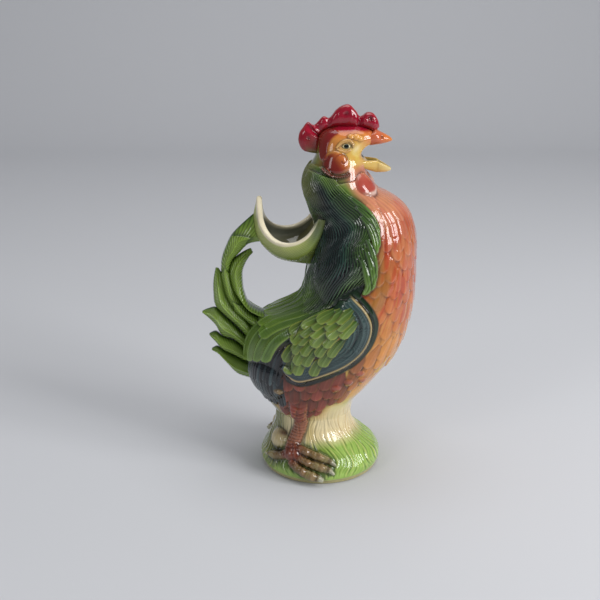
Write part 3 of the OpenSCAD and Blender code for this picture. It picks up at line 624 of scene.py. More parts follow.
# %% Legs and toes
LEG = [
    (106, 2.0), (106.5, 1.1), (108, 0.1), (110.5, -0.8),
    (113.5, -1.25), (116.5, -1.8), (119.5, -2.35), (121, -3.0),
]
LEG_HALVES = np.array([8.6, 7.8, 6.9, 6.3, 6.1, 6.3, 6.9, 7.8]) * MM
TOE_HALVES = np.array([5.0, 4.5, 3.9, 4.5, 3.7, 1.5]) * MM
TOES = {
    "outer": [(120, -4.1), (115, -4.6), (108, -5.05), (101, -5.42), (94, -5.68), (89, -6.0)],
    "inner": [(117, -2.9), (110, -2.95), (101, -3.15), (91, -3.5), (82, -3.85), (77, -4.3)],
    "front": [(118, -3.5), (110, -3.8), (101, -4.15), (91, -4.45), (83, -4.8), (79, -5.25)],
    "hind": [(126, -3.5), (132, -3.85), (140, -4.15), (147, -4.35), (152, -4.6)],
}
KNUCKLES = ((107, -5.1), (98, -5.5), (103, -3.12), (90, -3.5), (103, -4.1), (90, -4.5))


def leg():
    """A pale streak and the leg as one ringed bar, then each toe with knuckles and a claw, then the ball
    of the foot and the lump of grass behind it."""
    a, lev = canvas["angle"], canvas["level"]
    beside = np.exp(-(((a - 97) / 9) ** 2))
    wash(mix(YELLOW, CREAM, 0.4), 0.7 * beside * ease((lev + 2.6) / 1) * ease((1.6 - lev) / 1))
    raise_bar(LEG, LEG_HALVES, 6.4 * MM, rings=1.2 * MM, pitch=3.3 * MM, colour=mix(RUST, TAN, 0.15),
              soft=1.4 * MM, fade=0.35)
    toe_brown = mix(mix(RUST, OLIVE, 0.5), UMBER, 0.3)
    for line in TOES.values():
        inside, s, u = raise_bar(line, TOE_HALVES, 5.4 * MM, colour=toe_brown, rings=0.6 * MM,
                                 pitch=2.6 * MM, soft=1.1 * MM)
        near = ease((1.1 - u) / 0.3)
        stain(inside, mix(RUST, UMBER, 0.3), 0.8 * near * ease((0.35 - s) / 0.3))
        stain(inside, mix(mix(OLIVE, TAN, 0.4), UMBER, 0.2), 0.7 * near * ease((s - 0.45) / 0.2))
        stain(inside, mix(PEARL, OLIVE, 0.5), 0.9 * near * ease((s - 0.86) / 0.08))
        stain(inside, UMBER, 0.75 * near * np.exp(-(((s - 0.84) / 0.03) ** 2)))
    for angle, lev in KNUCKLES:
        raise_mound(angle, lev, 4.4, 4.4, 6.7, bend=0.6, stained=(mix(RUST, TAN, 0.4), 0.4, 1, 0.7))
    raise_mound(120.5, -3.45, 9.4, 8.4, 7.6, bend=0.6, stained=(mix(RUST, UMBER, 0.35), 0.95, 1.06, 0.35))
    raise_mound(146, -2.5, 13, 9.5, 4.4, bend=0.8, stained=(mix(CREAM, TAN, 0.5), 0.85, 1.15, 0.5))


leg()
tint(137, -1.75, 8, 0.3, mix(UMBER, CHERRY, 0.3), 0.85)
tint(139, -3.6, 9, 0.3, UMBER, 0.85)
tint(130, -5.0, 16, 0.5, BOTTLE, 0.5)
print("leg length along the skin, mm:", round(1000 * beside_line(LEG, 0.001)[3], 1))

# %% [markdown]
# ## Belly
#
# Under the wing the breast turns into a few uneven rows of plump red brown feathers
# with umber shadows between them. Below them the cream of the stem begins.

# %% Belly feathers
BELLY_ROWS = ((1.5, 84, 132), (2.15, 64, 132), (2.85, 50, 128), (3.6, 40, 122), (4.3, 36, 66))


def belly_feathers():
    """Each row sits higher towards the breast and wanders a little, and its colour turns to honey there."""
    count = 0
    for k, (lev, first, last) in enumerate(BELLY_ROWS):
        for j, angle in enumerate(np.arange(first + wobble(k, 3), last, 10.2)):
            to_side = float(ease((angle - 42) / 34))
            at = lev + 1.1 * float(ease((84 - angle) / 50)) + wobble(5 * k + j, 0.16)
            tone = mix(mix(ORANGE, HONEY, 0.4), mix(RUST, CORAL, 0.25 + 0.25 * wobble(j + k)), to_side)
            spots = [(angle + wobble(j, 2), at + 0.7), (angle + 1, at), (angle + 2, at - 0.75)]
            lay_feather(
                spots, 6.4 * MM, mix(0.9, 1.7, to_side) * MM, mix(tone, UMBER, 0.7 * to_side), tone,
                barb=0.2, pitch=1.8 * MM, slant=1.8, rib=0.0, soft=1.0 * MM, round_tip=1.1, crown=0.6,
                rim=mix(tone, HONEY, 0.22),
            )
            count += 1
    for angle, lev in ((59, 4.0), (66, 3.5), (74, 3.15), (52, 3.4)):
        raise_mound(angle, lev, 4.6, 3.6, 1.6, bend=0.9, stained=(mix(RUST, CORAL, 0.3), 0.8, 1.1, 0.6))
    return count


print("belly feathers:", belly_feathers())

# %% [markdown]
# ## Under the tail, thigh and saddle
#
# Long feathers are drawn as bands between two guide lines. A dark band lies under the
# tail, and the thigh is a dark fluff of fine locks. Over both fall the broad saddle
# feathers, from the back towards the tail, with slanted barbs and a pale edge.

# %% A band of long feathers between two guide lines


def feather_band(first, last, count, half, lift, paint, shorten=0.0, **more):
    """count long feathers whose lines blend from the first guide line to the last. paint gives the root
    and tip colours at a share of the way, and shorten takes a little off every second feather."""
    first, last = np.asarray(first, float), np.asarray(last, float)
    for k in range(count):
        f = k / (count - 1)
        line = mix(first, last, f)
        t = np.linspace(0, (len(line) - 1) * (1 - shorten * (k % 2)), len(line))
        root, tip = paint(f)
        lay_feather(level(line, t), half, lift, root, tip, **more)


def under_tail(f):
    """Root and tip colours from the thigh to the middle of the back."""
    return mix(NAVY, BOTTLE, f), mix(NAVY, BOTTLE, 0.6 * f)


feather_band(
    [(128, 5.4), (132, 4.4), (136, 3.2), (140, 2.0)], [(178, 5.0), (178, 3.8), (177, 2.6), (176, 1.3)],
    10, 5.2 * MM, 1.1 * MM, under_tail, barb=0.35, pitch=1.6 * MM, slant=1.6,
)
print("feathers under the tail laid")

# %% Thigh


def thigh():
    """A swelling that fades out, then three tiers of thin locks that run down it, and a brown spur."""
    tint(125, 4.2, 10, 1.3, NAVY, 0.95)
    raise_mound(139, 3.2, 25, 19, 4.6, bend=1.0)
    for tier, top in enumerate((3.7, 4.6, 5.5)):
        for k, a in enumerate(np.arange(120 + 1.5 * (tier % 2), 166 - 4 * tier, 3.3)):
            start = top + 0.15 * wobble(k + tier)
            spots = [(a - 1.5, start), (a + 0.5, start - 1.0), (a + 2.5, start - 2.1)]
            shine = mix(NAVY, SLATE, 0.35 + 0.3 * wobble(2 * k + tier))
            lay_feather(spots, 2.2 * MM, 1.3 * MM, NAVY, shine, barb=0.15, slant=2.6, rib=-0.2, crown=0.8,
                        rim=NAVY, round_tip=1.8, soft=0.7 * MM)
    raise_mound(123, 2.85, 5.0, 3.6, 4.6, bend=0.8, stained=(mix(UMBER, TAN, 0.4), 1.0, 1.1, 0.5))


thigh()
print("thigh laid")

# %% Saddle


def saddle_paint(f):
    """Root and tip colours of the saddle, brighter towards the middle of the back."""
    return mix(BOTTLE, LEAF, 0.25 + 0.4 * f), mix(LEAF, LIME, 0.15 + 0.3 * f)


saddle_style = {"barb": 0.34, "pitch": 2.2 * MM, "slant": 1.1, "rim": mix(LEAF, LIME, 0.65), "rib": 0.35}
feather_band(
    [(118, 8.6), (128, 7.4), (134, 6.0), (138, 4.5)], [(172, 7.2), (176, 6.2), (179, 5.2), (178, 3.9)],
    5, 8.4 * MM, 1.9 * MM, saddle_paint, soft=0.8 * MM, **saddle_style,
)
feather_band(
    [(120, 9.9), (133, 8.7), (143, 7.4), (150, 5.9)], [(168, 10.9), (174, 9.8), (178, 8.5), (179, 7.0)],
    5, 8.4 * MM, 1.9 * MM, saddle_paint, soft=0.8 * MM, shorten=0.12, **saddle_style,
)
print("saddle laid")

# %% [markdown]
# ## The wing
#
# The folded wing stands off the body as a plateau. Its upper part carries rows of
# small scalloped feathers, olive with yellow highlights. Long blue grey feathers
# sweep round its front and under it. A tan line follows its edge, and beyond that
# lies one more dark feather.

# %% Wing
WING_OUTER = np.array([
    (101, 9.95), (84, 8.75), (69, 7.2), (66, 5.9), (73, 4.9), (88, 4.2), (104, 3.75), (117, 4.1),
])
WING_INNER = np.array([
    (108, 9.2), (95, 8.3), (84, 7.2), (80, 6.2), (84, 5.5), (94, 4.95), (107, 4.6), (121, 5.2),
])


def wing_long_feathers():
    """The plateau, the dark feather outside the edge, five long blue feathers, and the tan line."""
    middle = [(103, 9.6), (96, 8), (95, 6.4), (99, 5), (106, 4.0)]
    raise_bar(middle, np.array([8, 19, 26, 22, 9]) * MM, 4.0 * MM)
    rim_line = mix(WING_OUTER, WING_INNER, 0.25)
    raise_bar(rim_line, np.array([3, 5.5, 6.5, 6.5, 6.5, 6, 5, 3]) * MM, 3.6 * MM)
    outside = mix(WING_OUTER, WING_INNER, -0.24)
    lay_feather(outside, 4.8 * MM, 1.2 * MM, BOTTLE, NAVY, barb=0.3, slant=1.5, root_width=0.8,
                soft=1.6 * MM, rim=mix(BOTTLE, LEAF, 0.3), crown=0.7)
    for k, f in enumerate((0.18, 0.40, 0.62, 0.84, 1.05)):
        line = mix(WING_OUTER, WING_INNER, f)
        tone = mix(SLATE, TEAL, 0.22 * k)
        lay_feather(line, 3.3 * MM, (1.1 + 0.14 * k) * MM, mix(tone, BOTTLE, 0.45), mix(tone, NAVY, 0.5),
                    barb=0.3, pitch=1.3 * MM, slant=2.6, rib=0.2, root_width=0.8, rim=mix(tone, NAVY, 0.5))
    lay_feather(mix(WING_OUTER, WING_INNER, 0.03), 1.3 * MM, 1.7 * MM, mix(TAN, OLIVE, 0.35),
                mix(TAN, OLIVE, 0.1), barb=0, rib=0, root_width=1, soft=0.9 * MM, sink=0.7)


def wing_scallops():
    """Rows of small round feathers inside an oval, each a little different in size and tone."""
    count = 0
    for k, lev in enumerate(np.arange(4.75, 8.9, 0.6)):
        for j, shift in enumerate(np.arange(-26, 27, 9.0)):
            a = 104 + shift + 4.5 * (k % 2) + 1.5 * wobble(4 * k + j)
            if ((a - 104) / 21) ** 2 + ((lev - 6.6) / 2.25) ** 2 > 1:
                continue
            shade = 0.5 + 0.5 * wobble(3 * k + j)
            half = (4.8 + 0.5 * wobble(k + 5 * j)) * MM
            spots = [(a - 2.6, lev + 0.62), (a, lev), (a + 1.4, lev - 0.58)]
            root = mix(BOTTLE, LEAF, 0.2 + 0.3 * shade)
            tip = mix(mix(LEAF, OLIVE, 0.35), LIME, 0.15 + 0.35 * shade)
            lay_feather(spots, half, 1.7 * MM, root, tip, barb=0.26, pitch=1.25 * MM, slant=1.5, rib=0.25,
                        rim=mix(tip, mix(LIME, YELLOW, 0.4), 0.6), round_tip=0.95, soft=0.6 * MM)
            count += 1
    return count


wing_long_feathers()
print("scalloped wing feathers:", wing_scallops())

# %% [markdown]
# ## The neck cape
#
# The cape is what gives a rooster its silhouette: a fall of narrow locks from the
# nape. It is one formula instead of many feathers. Every canvas point knows its share
# of the way from the cape's front edge to its back edge. That share, times the number
# of locks, says which lock the point is in and where across it. Five tiers lie over
# each other, and each lock ends in a round tip at its own level. The locks are bottle
# green at the front and almost black in the middle, where the cobalt ran thick.

# %% Cape
# Level, front angle, back angle.
CAPE = np.array([
    [19.6, 118, 166], [18.7, 104, 174], [17.8, 90, 181], [17.0, 83, 181], [16.3, 80, 181], [15.6, 78, 181],
    [14.9, 75, 174], [14.2, 75, 158], [13.5, 80, 152], [12.95, 87, 152], [12.4, 85, 156], [11.8, 79, 162],
    [11.2, 79, 168], [10.6, 88, 170], [10.0, 93, 170], [9.2, 96, 170], [8.0, 100, 170],
])
# Share of the way from front to back, and the level where the lowest locks end there.
CAPE_FOOT = np.array([[0, 10.7], [0.1, 10.2], [0.22, 9.7], [0.4, 9.2], [0.6, 8.6], [0.8, 9.0], [1, 9.9]])
# Locks, levels above the foot, unevenness and sideways shift of each tier, the lowest first.
TIERS = (
    (24, 0.0, 0.3, 0.0), (27, 1.5, 0.5, 0.4), (28, 3.1, 0.6, 0.1), (27, 4.7, 0.6, 0.7), (25, 6.3, 0.5, 0.3),
)
# Angle, level, reach forward in degrees and drop in levels of the locks that curl over the breast.
CAPE_CURLS = (
    (81, 15.5, 7, 1.5), (82, 14.6, 8, 1.35), (84, 13.9, 7, 1.1),
    (84, 12.3, 7, 1.25), (85, 11.6, 7, 1.0), (89, 11.1, 6, 0.8),
)


def cape_share(angle, lev):
    """Share of the way from the cape's front edge to its back edge, by smooth curves through its rows."""
    fine = level(CAPE, np.linspace(0, len(CAPE) - 1, 300))[::-1]
    front = np.interp(lev, fine[:, 0], fine[:, 1])
    back = np.interp(lev, fine[:, 0], fine[:, 2])
    return (angle - front) / (back - front)


def cape_tone(f, lev):
    """The light and the dark colour of the cape at a share and a level."""
    middle = np.exp(-(((f - 0.42) / 0.25) ** 2)) * ease((18.2 - lev) / 1.3)
    inner_back = ease((f - 0.45) / 0.3) * ease((15.4 - lev) / 1.6) * ease((lev - 9.6) / 2.5)
    dark = np.clip(middle + 0.9 * inner_back, 0, 1)[:, None]
    nape = (ease((f - 0.36) / 0.34) * ease((lev - 15.3) / 1.5))[:, None]
    low = (ease((f - 0.3) / 0.3) * ease((11.2 - lev) / 1.8))[:, None]
    light = mix(mix(LEAF, LIME, 0.15), mix(BOTTLE, TEAL, 0.5), dark)
    deep = mix(mix(BOTTLE, LEAF, 0.12), NAVY, ease(1.5 * dark))
    light, deep = mix(light, mix(LEAF, LIME, 0.3), 0.75 * low), mix(deep, BOTTLE, 0.6 * low)
    return mix(light, mix(OLIVE, UMBER, 0.1), 0.92 * nape), mix(deep, mix(OLIVE, BOTTLE, 0.45), 0.92 * nape)


def cape_tier(locks, above, uneven, shift):
    """One tier. Across a lock runs u from -1 to 1. Its surface is a half round ridge with a fine hair
    groove on each side, and its half width closes as a root towards its own end level."""
    a, lev = canvas["angle"], canvas["level"]
    f = cape_share(a, lev)
    sway = 0.020 * np.sin(1.7 * lev + 5 * f + 9 * shift) + 0.008 * np.sin(4.1 * lev + 17 * f)
    n = (f + sway) * locks + shift
    lock = np.floor(n)
    u = 2 * (n - lock) - 1
    chance = np.sin(12.9898 * lock + 40 * shift)
    foot = np.interp(f, CAPE_FOOT[:, 0], CAPE_FOOT[:, 1]) + above + uneven * chance
    past = lev - foot
    half = np.sqrt(np.clip(past / 0.75, 0, 1))
    inside = ease(f * locks / 0.8) * ease((1 - f) * locks / 0.8) * ease((19.3 - lev) / 0.8)
    cover = ease((half - np.abs(u)) / 0.25 + 0.1) * inside * (past > 0)
    ridge = np.sqrt(np.clip(1 - (u / np.maximum(half, 0.1)) ** 2, 0, 1))
    hair = np.exp(-(((np.abs(u) - 0.42) / 0.12) ** 2))
    body = 0.9 + 0.7 * (1 - np.clip(past / 2.5, 0, 1))
    height = (body + 0.95 * ridge - 0.18 * hair) * MM
    light, deep = cape_tone(f, lev)
    shine = 0.85 * ridge**3 - 0.45 * hair + 0.3 * chance * (1 - hair)
    shine = shine * (0.7 + 0.3 * np.sin(0.8 * lev + lock))
    tone = mix(deep, light, np.clip(shine, 0, 1)[:, None])
    edge = (ease((0.09 - f) / 0.06) * ease((18 - lev) / 1))[:, None]
    tone = mix(tone, mix(LEAF, LIME, 0.2), 0.4 * edge * ridge[:, None])
    canvas["relief"][:] = mix(canvas["relief"], height, cover)
    wash(tone, cover)


def cape_curls():
    """Locks that turn forward over the breast where the cape's front edge bulges."""
    for a, lev, reach, drop in CAPE_CURLS:
        spots = [
            (a + 5, lev + 1.0), (a + 0.5, lev + 0.2), (a - 2, lev - 0.45 * drop), (a - 3, lev - 0.85 * drop),
            (a - reach * 0.35, lev - 1.25 * drop), (a + 1.5, lev - 1.5 * drop),
        ]
        lay_feather(
            spots, 3.4 * MM, 2.6 * MM, mix(BOTTLE, LEAF, 0.2), mix(LEAF, LIME, 0.1), barb=0, rib=-0.3,
            crown=0.8, sink=0.6, rim=mix(BOTTLE, LEAF, 0.4), round_tip=2.0, root_width=0.6, soft=0.8 * MM,
        )


raise_bar([(124, 18.4), (124, 16.5), (112, 14.5), (112, 12.8), (116, 11.2)],
          np.array([14, 26, 30, 32, 26]) * MM, 2.4 * MM)
for tier in TIERS:
    cape_tier(*tier)
cape_curls()
print("cape locks:", sum(tier[0] for tier in TIERS) + len(CAPE_CURLS))

# %% [markdown]
# ## The head
#
# The face is modelled with domes and bars: brow bumps, the socket round the eye, the
# deep red cheek lobe with its curl, a beaded row under it, and the wattles with
# their pale raised edge. A dark red band runs from the comb down behind the cheek,
# and the face is drawn in between the two halves of the beak.

# %% Head


def spiral(angle, lev, size, turns, depth, colour):
    """A curl: its groove is where the distance in turns, less the angle in turns, is near a half."""
    inside, forward, up = around(angle, lev, size)
    r = np.hypot(forward, up) / size
    turn = (turns * r - np.arctan2(up, forward) / (2 * math.pi)) % 1
    groove = np.exp(-(((turn - 0.5) / 0.16) ** 2)) * ease((1 - r) / 0.25)
    canvas["relief"][inside] -= depth * groove
    stain(inside, colour, 0.7 * groove)


def face_paint():
    """Yellow face, orange brow and beak root, pink throat paled with pearl as a painted glint, and the dark
    red band behind the face.
    """
    a, lev = canvas["angle"], canvas["level"]
    tint(90, 21.6, 46, 1.3, mix(HONEY, YELLOW, 0.35), 0.95)
    tint(58, 21.0, 24, 1.6, YELLOW, 0.85)
    tint(112, 22.2, 22, 1.2, mix(ORANGE, RUST, 0.35), 0.8)
    tint(86, 23.6, 34, 0.55, ORANGE, 0.75)
    tint(20, 23.0, 34, 0.8, mix(CORAL, ORANGE, 0.4), 0.85)
    tint(165, 19.4, 20, 1.2, OLIVE, 0.9)
    # Pink throat, paled with pearl as a painted glint.
    tint(34, 18.4, 40, 0.9, mix(SALMON, PEARL, 0.2), 0.7)
    face = ease((lev - 19.6) / 1) * ease((120 - a) / 20)
    wash(mix(HONEY, ORANGE, 0.5), 0.45 * ease(drift(17, 22, 0.9)) * face)
    wash(CRIMSON, ease((lev - 24.25 - 0.12 * drift(5, 20, 2)) / 0.5))
    band = [(124, 24.4), (133, 23.6), (138, 22.6), (139, 21.6), (134, 20.7), (124, 20.0)]
    lay_feather(band, 7.0 * MM, 0.9 * MM, mix(CRIMSON, CHERRY, 0.75), mix(RUST, CHERRY, 0.5), barb=0.12,
                slant=2.4, rib=0, soft=3.0 * MM, root_width=0.9, round_tip=1.6, crown=0.4, sink=0.3)
    wash(mix(CHERRY, RUST, 0.5), 0.8 * ease((a - 134) / 14) * ease((lev - 21.3) / 1.2))


def cheek():
    """The cheek lobe, dark below and orange above, with its curl and the beads along its foot."""
    inside, x, y, r = raise_mound(100, 19.95, 11.8, 10.6, 2.8, bend=0.7, lean=-20, power=2.4)
    warm = ease((0.55 * x + 0.8 * y + 0.15) / 0.9)[:, None]
    tone = mix(mix(CHERRY, RUST, 0.25), mix(ORANGE, RUST, 0.3), warm)
    stain(inside, tone, ease((1.12 - r) / 0.45))
    spiral(86, 20.35, 7.4 * MM, 1.0, 0.32 * MM, mix(CHERRY, RUST, 0.5))
    for a in np.linspace(70, 122, 15):
        lev = 18.45 + 0.55 * ((a - 94) / 30) ** 2
        raise_mound(a, lev, 1.45, 1.45, 3.6, bend=0.6, stained=(mix(UMBER, CHERRY, 0.3), 0.9, 1.2, 0.4))


def eye_socket():
    """Brow bumps, thin eyelids, and the hollow that the eye sits in."""
    brow = (mix(HONEY, ORANGE, 0.25), 0.7, 1.1, 0.5)
    for a, lev, size in ((60, 23.1, 3.4), (71, 23.4, 3.8), (84, 23.45, 3.2)):
        raise_mound(a, lev, size, 0.8 * size, 1.7, bend=0.7, stained=brow)
    upper_lid = [(106, 21.9), (98, 22.6), (85, 22.85), (73, 22.45), (69, 22.1)]
    lower_lid = [(104, 21.8), (95, 21.6), (84, 21.5), (74, 21.75)]
    lids = ((upper_lid, [0.8, 1.4, 1.6, 1.4, 0.8], 1.3), (lower_lid, [0.7, 1.0, 1.1, 0.8], 0.8))
    for line, halves, high in lids:
        raise_bar(line, np.array(halves) * MM, high * MM, colour=mix(HONEY, RUST, 0.35), soft=1.2 * MM)
    inside, forward, up = around(85, 22.2, 9 * MM)
    socket = np.exp(-((forward / (4.8 * MM)) ** 2) - (up / (2.4 * MM)) ** 2)
    canvas["relief"][inside] -= 1.5 * MM * socket
    stain(inside, mix(CREAM, OLIVE, 0.3), 0.8 * socket)
    tint(60, 21.9, 9, 0.45, CREAM, 0.6)


def beak_roots():
    """Swellings that the two halves of the beak grow from, and the hollow of the mouth between them."""
    a, lev = canvas["angle"], canvas["level"]
    for wide, at, tall, rise in ((30, 22.85, 0.72, 5.4), (36, 19.85, 0.55, 3.6), (30, 21.15, 0.7, -3.4)):
        canvas["form"] += rise * MM * np.exp(-((a / wide) ** 2) - ((lev - at) / tall) ** 2)
    wash(mix(YELLOW, CREAM, 0.3), 0.8 * np.exp(-((a / 42) ** 2) - ((lev - 20.0) / 0.5) ** 2))
    wash(mix(UMBER, OLIVE, 0.3), 0.9 * np.exp(-((a / 24) ** 2) - ((lev - 21.0) / 0.42) ** 2))


def wattle():
    """A hanging lobe: a dome with a raised pale edge along its front and foot, and a dent inside it."""
    coral = (mix(CORAL, CHERRY, 0.25), 1.0, 1.06, 0.3)
    inside, x, y, r = raise_mound(40, 17.65, 12.2, 11.8, 4.8, bend=0.8, stained=coral, lean=-18, power=2.6)
    form = canvas["form"]
    edge = np.exp(-(((r - 0.84) / 0.13) ** 2)) * ease((x - 0.5 * y + 0.3) / 0.9)
    form[inside] += 0.8 * MM * edge
    form[inside] -= 0.7 * MM * np.exp(-((r / 0.6) ** 2))
    stain(inside, mix(CORAL, PEARL, 0.6), 0.85 * edge)
    # Painted highlight: the upper half of the dome is paled towards salmon.
    stain(inside, mix(SALMON, CORAL, 0.4), 0.45 * ease((y - 0.1) / 0.8) * ease((1 - r) / 0.2))


face_paint()
cheek()
eye_socket()
wattle()
beak_roots()
head_form = canvas["form"][canvas["level"] > NECK_LEVEL]
print("highest relief on the head, mm:", round(1000 * head_form.max(), 2))

# %% [markdown]
# ## Fire the glaze
#
# Molten glaze leaves the edges and gathers in the grooves. To find the grooves, the
# height is blurred and compared with itself: where the blur is higher, the point
# lies low. There the colour is multiplied towards dark, and on the edges it is
# lightened. At last the heights are softened, because glass never leaves an edge
# quite sharp.


# %% Blur, pool and soften
def blur(field, rounds):
    """Each round replaces a point by a quarter, half, quarter mean of its neighbours, both ways. The
    angle's ends are mirrored, as the other half of the bird lies behind them."""
    for _ in range(rounds):
        wide = np.pad(field, ((1, 1), (0, 0)), mode="edge")
        field = 0.25 * wide[:-2] + 0.5 * wide[1:-1] + 0.25 * wide[2:]
        wide = np.pad(field, ((0, 0), (1, 1)), mode="reflect")
        field = 0.25 * wide[:, :-2] + 0.5 * wide[:, 1:-1] + 0.25 * wide[:, 2:]
    return field


height = (canvas["form"] + canvas["relief"]).reshape(grid_shape)
rounds = max(3, int(18 * DETAIL**2))
low_by = blur(height, rounds) - height
wide_low = blur(height, 5 * rounds) - height
pooled = np.clip(low_by / (0.40 * MM), 0, 1) * 0.6 + np.clip(wide_low / (1.1 * MM), 0, 1) * 0.4
thin = np.clip(-low_by / (0.40 * MM), 0, 1)
colour = canvas["colour"].reshape(grid_shape + (3,))
colour = colour * mix(1.0, np.array([0.34, 0.33, 0.38]), pooled[..., None])
colour = mix(colour, colour**0.78 * 0.96 + 0.012, 0.55 * thin[..., None])
height = blur(height, 1)
print("glaze pools on", round(100 * float((pooled > 0.3).mean())), "percent of the skin")

# %% [markdown]
# ## From grid to mesh
#
# A grid of points becomes a mesh of four sided faces. The normals are measured on
# the whole grid with central differences and given to the mesh, so light flows
# smoothly over the seams between pieces. The colour travels with each point as an
# attribute that the material reads.


# %% Grid to mesh
def grid_normals(points):
    """The surface's direction at each grid point: the cross product of the steps to its neighbours."""
    return unit(np.cross(np.gradient(points, axis=0), np.gradient(points, axis=1)))


def closed_normals(grid):
    """Normals of a grid whose columns run right round, pointing away from its middle, and whether the
    cross product had to be turned over for that."""
    normals = grid_normals(np.concatenate([grid[:, -1:], grid, grid[:, :1]], 1))[:, 1:-1]
    turned = ((grid - grid.mean((0, 1))) * normals).sum() < 0
    return (-normals if turned else normals), turned


def loft(rings, steps):
    """The grid on the smooth curves through a list of rings, and each row's share of the way along."""
    rings = np.stack(rings)
    s = np.linspace(0, 1, steps)
    return level(rings, s * (len(rings) - 1)), s


def add_mesh(name, points, faces, normals=None, colours=None):
    """A mesh object at the origin, with its points, faces, normals and glaze colours."""
    mesh = bpy.data.meshes.new(name)
    mesh.from_pydata(points.reshape(-1, 3), [], faces.tolist())
    mesh.update()
    mesh.polygons.foreach_set("use_smooth", np.ones(len(mesh.polygons), bool))
    if colours is not None:
        layer = mesh.color_attributes.new("glaze", "FLOAT_COLOR", "POINT")
        rgba = np.ones((len(mesh.vertices), 4), np.float32)
        rgba[:, :3] = np.clip(colours.reshape(-1, 3), 0, 1)
        layer.data.foreach_set("color", rgba.ravel())
    if normals is not None:
        mesh.normals_split_custom_set_from_vertices(normals.reshape(-1, 3).tolist())
    piece = bpy.data.objects.new(name, mesh)
    bpy.context.scene.collection.objects.link(piece)
    return piece


def grid_faces(rows, columns, keep=None, closed=False, flip=False):
    """Four sided faces between neighbouring grid points; keep leaves faces out for an opening."""
    across = columns if closed else columns - 1
    r, c = np.meshgrid(np.arange(rows - 1), np.arange(across), indexing="ij")
    a = r * columns + c
    b = r * columns + (c + 1) % columns
    faces = np.stack([a, a + columns, b + columns, b], -1)
    if keep is not None:
        faces = faces[keep]
    faces = faces.reshape(-1, 4)
    return faces[:, ::-1] if flip else faces


def used_points(points, faces):
    """Which points some face uses, and the faces renumbered for those alone."""
    used = np.unique(faces)
    number = np.zeros(len(points), int)
    number[used] = np.arange(len(used))
    return used, number[faces]

# %% [markdown]
# ## The bird's skin as pieces
#
# Base, belly, neck and head are cast apart and joined with slip, so they are
# separate pieces here too, each in a right and a left half.

# %% Cut the skin into pieces
PARTS = {
    "base": (0, base_rows),
    "belly": (base_rows - 1, belly_rows),
    "neck": (belly_rows - 1, neck_rows),
    "head": (neck_rows - 1, grid_shape[0]),
}
ON_THE_SIDE = {
    "base": ["shank", "foot_ball", "front_toe", "outer_toe", "inner_toe", "hind_toe", "grass_lump"],
    "belly": ["wing_coverts", "wing_primaries", "saddle", "thigh", "hock"],
    "neck": ["hackle"],
    "head": ["ear_lobe", "wattle"],
}
WHOLE_NODE = {"base": "grass_base", "belly": "belly_shell", "neck": "neck_shell", "head": "head_shell"}
SKIN_SLOT = {"base": "grass_glaze", "belly": "breast_glaze", "neck": "breast_glaze", "head": "face_glaze"}
SIDES = {"right": 1, "left": -1}

skin_points = canvas["place"].reshape(grid_shape + (3,))
skin_out = outward(grid_angle, grid_level)
BREAST_TRIM = 1.6 * MM
BOX_MARGIN = 0.02 * MM
BOX_LOW, BOX_HIGH = np.array(cad_low) + BOX_MARGIN, np.array(cad_high) - BOX_MARGIN
trim = BREAST_TRIM * ease((60 - grid_angle) / 30) * ease((grid_level - 4) / 3) * ease((16 - grid_level) / 3)
surface = skin_points + skin_out * (height - trim)[..., None]
surface = np.clip(surface, BOX_LOW, BOX_HIGH)
surface[:, [0, -1], 1] = 0
ghost = np.concatenate([surface[:, 1:2] * [1, -1, 1], surface, surface[:, -2:-1] * [1, -1, 1]], 1)
surface_normal = grid_normals(ghost)[:, 1:-1]
surface_normal[-1] = [0, 0, 1]
skin_pieces = []


def mirrored(array, side):
    """The array itself for the right side, and with its Y turned over for the left."""
    return array * np.array([1, side, 1])


def foot_ring(points, colours, normals):
    """Adds a ring that turns in under the foot's edge, so no gap shows above the slab."""
    inner = points[:1] * np.array([0.9, 0.9, 1])
    return (
        np.concatenate([inner, points]),
        np.concatenate([colours[:1], colours]),
        np.concatenate([normals[:1] * 0 + [0, 0, -1], normals]),
    )


def skin_piece(part, name, side):
    """One half of one part, without the faces of the openings. It stands for the part's nodes."""
    first, last = PARTS[part]
    points, paint, normals = surface[first:last], colour[first:last], surface_normal[first:last]
    angle, lev = square_angle[first:last], square_level[first:last]
    middle_angle = (angle[:-1, :-1] + angle[1:, 1:]) / 2
    middle_level = (lev[:-1, :-1] + lev[1:, 1:]) / 2
    keep = ~opened(middle_angle, middle_level)
    if part == "base":
        points, paint, normals = foot_ring(points, paint, normals)
        keep = np.concatenate([np.ones((1, keep.shape[1]), bool), keep])
    faces = grid_faces(points.shape[0], points.shape[1], keep, flip=side < 0)
    used, faces = used_points(points.reshape(-1, 3), faces)
    piece = add_mesh(
        part + "_" + name,
        mirrored(points.reshape(-1, 3)[used], side),
        faces,
        mirrored(normals.reshape(-1, 3)[used], side),
        paint.reshape(-1, 3)[used],
    )
    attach(piece, "root")
    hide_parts(WHOLE_NODE[part], *[node + "_" + name for node in ON_THE_SIDE[part]])
    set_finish(piece, SKIN_SLOT[part])
    skin_pieces.append(piece)
    return piece


for part in PARTS:
    for name, side in SIDES.items():
        made = skin_piece(part, name, side)
        print(made.name, "has", len(made.data.polygons), "faces")

# %% [markdown]
# ## Lining and wall of the openings
#
# The inside is glazed plain cream grey. It is the skin moved one wall towards the
# middle of each slice. Short strips join it to the outside round each opening.

# %% Lining


def inner(angle, lev):
    """Skin points moved a wall's thickness towards the slice's middle, or most of the way if it is near."""
    middle = (skin(0, lev) + skin(180, lev)) / 2
    gap = middle - skin(angle, lev)
    far = np.linalg.norm(gap, axis=-1, keepdims=True)
    return skin(angle, lev) + gap / np.maximum(far, 1e-9) * np.minimum(WALL, 0.7 * far)


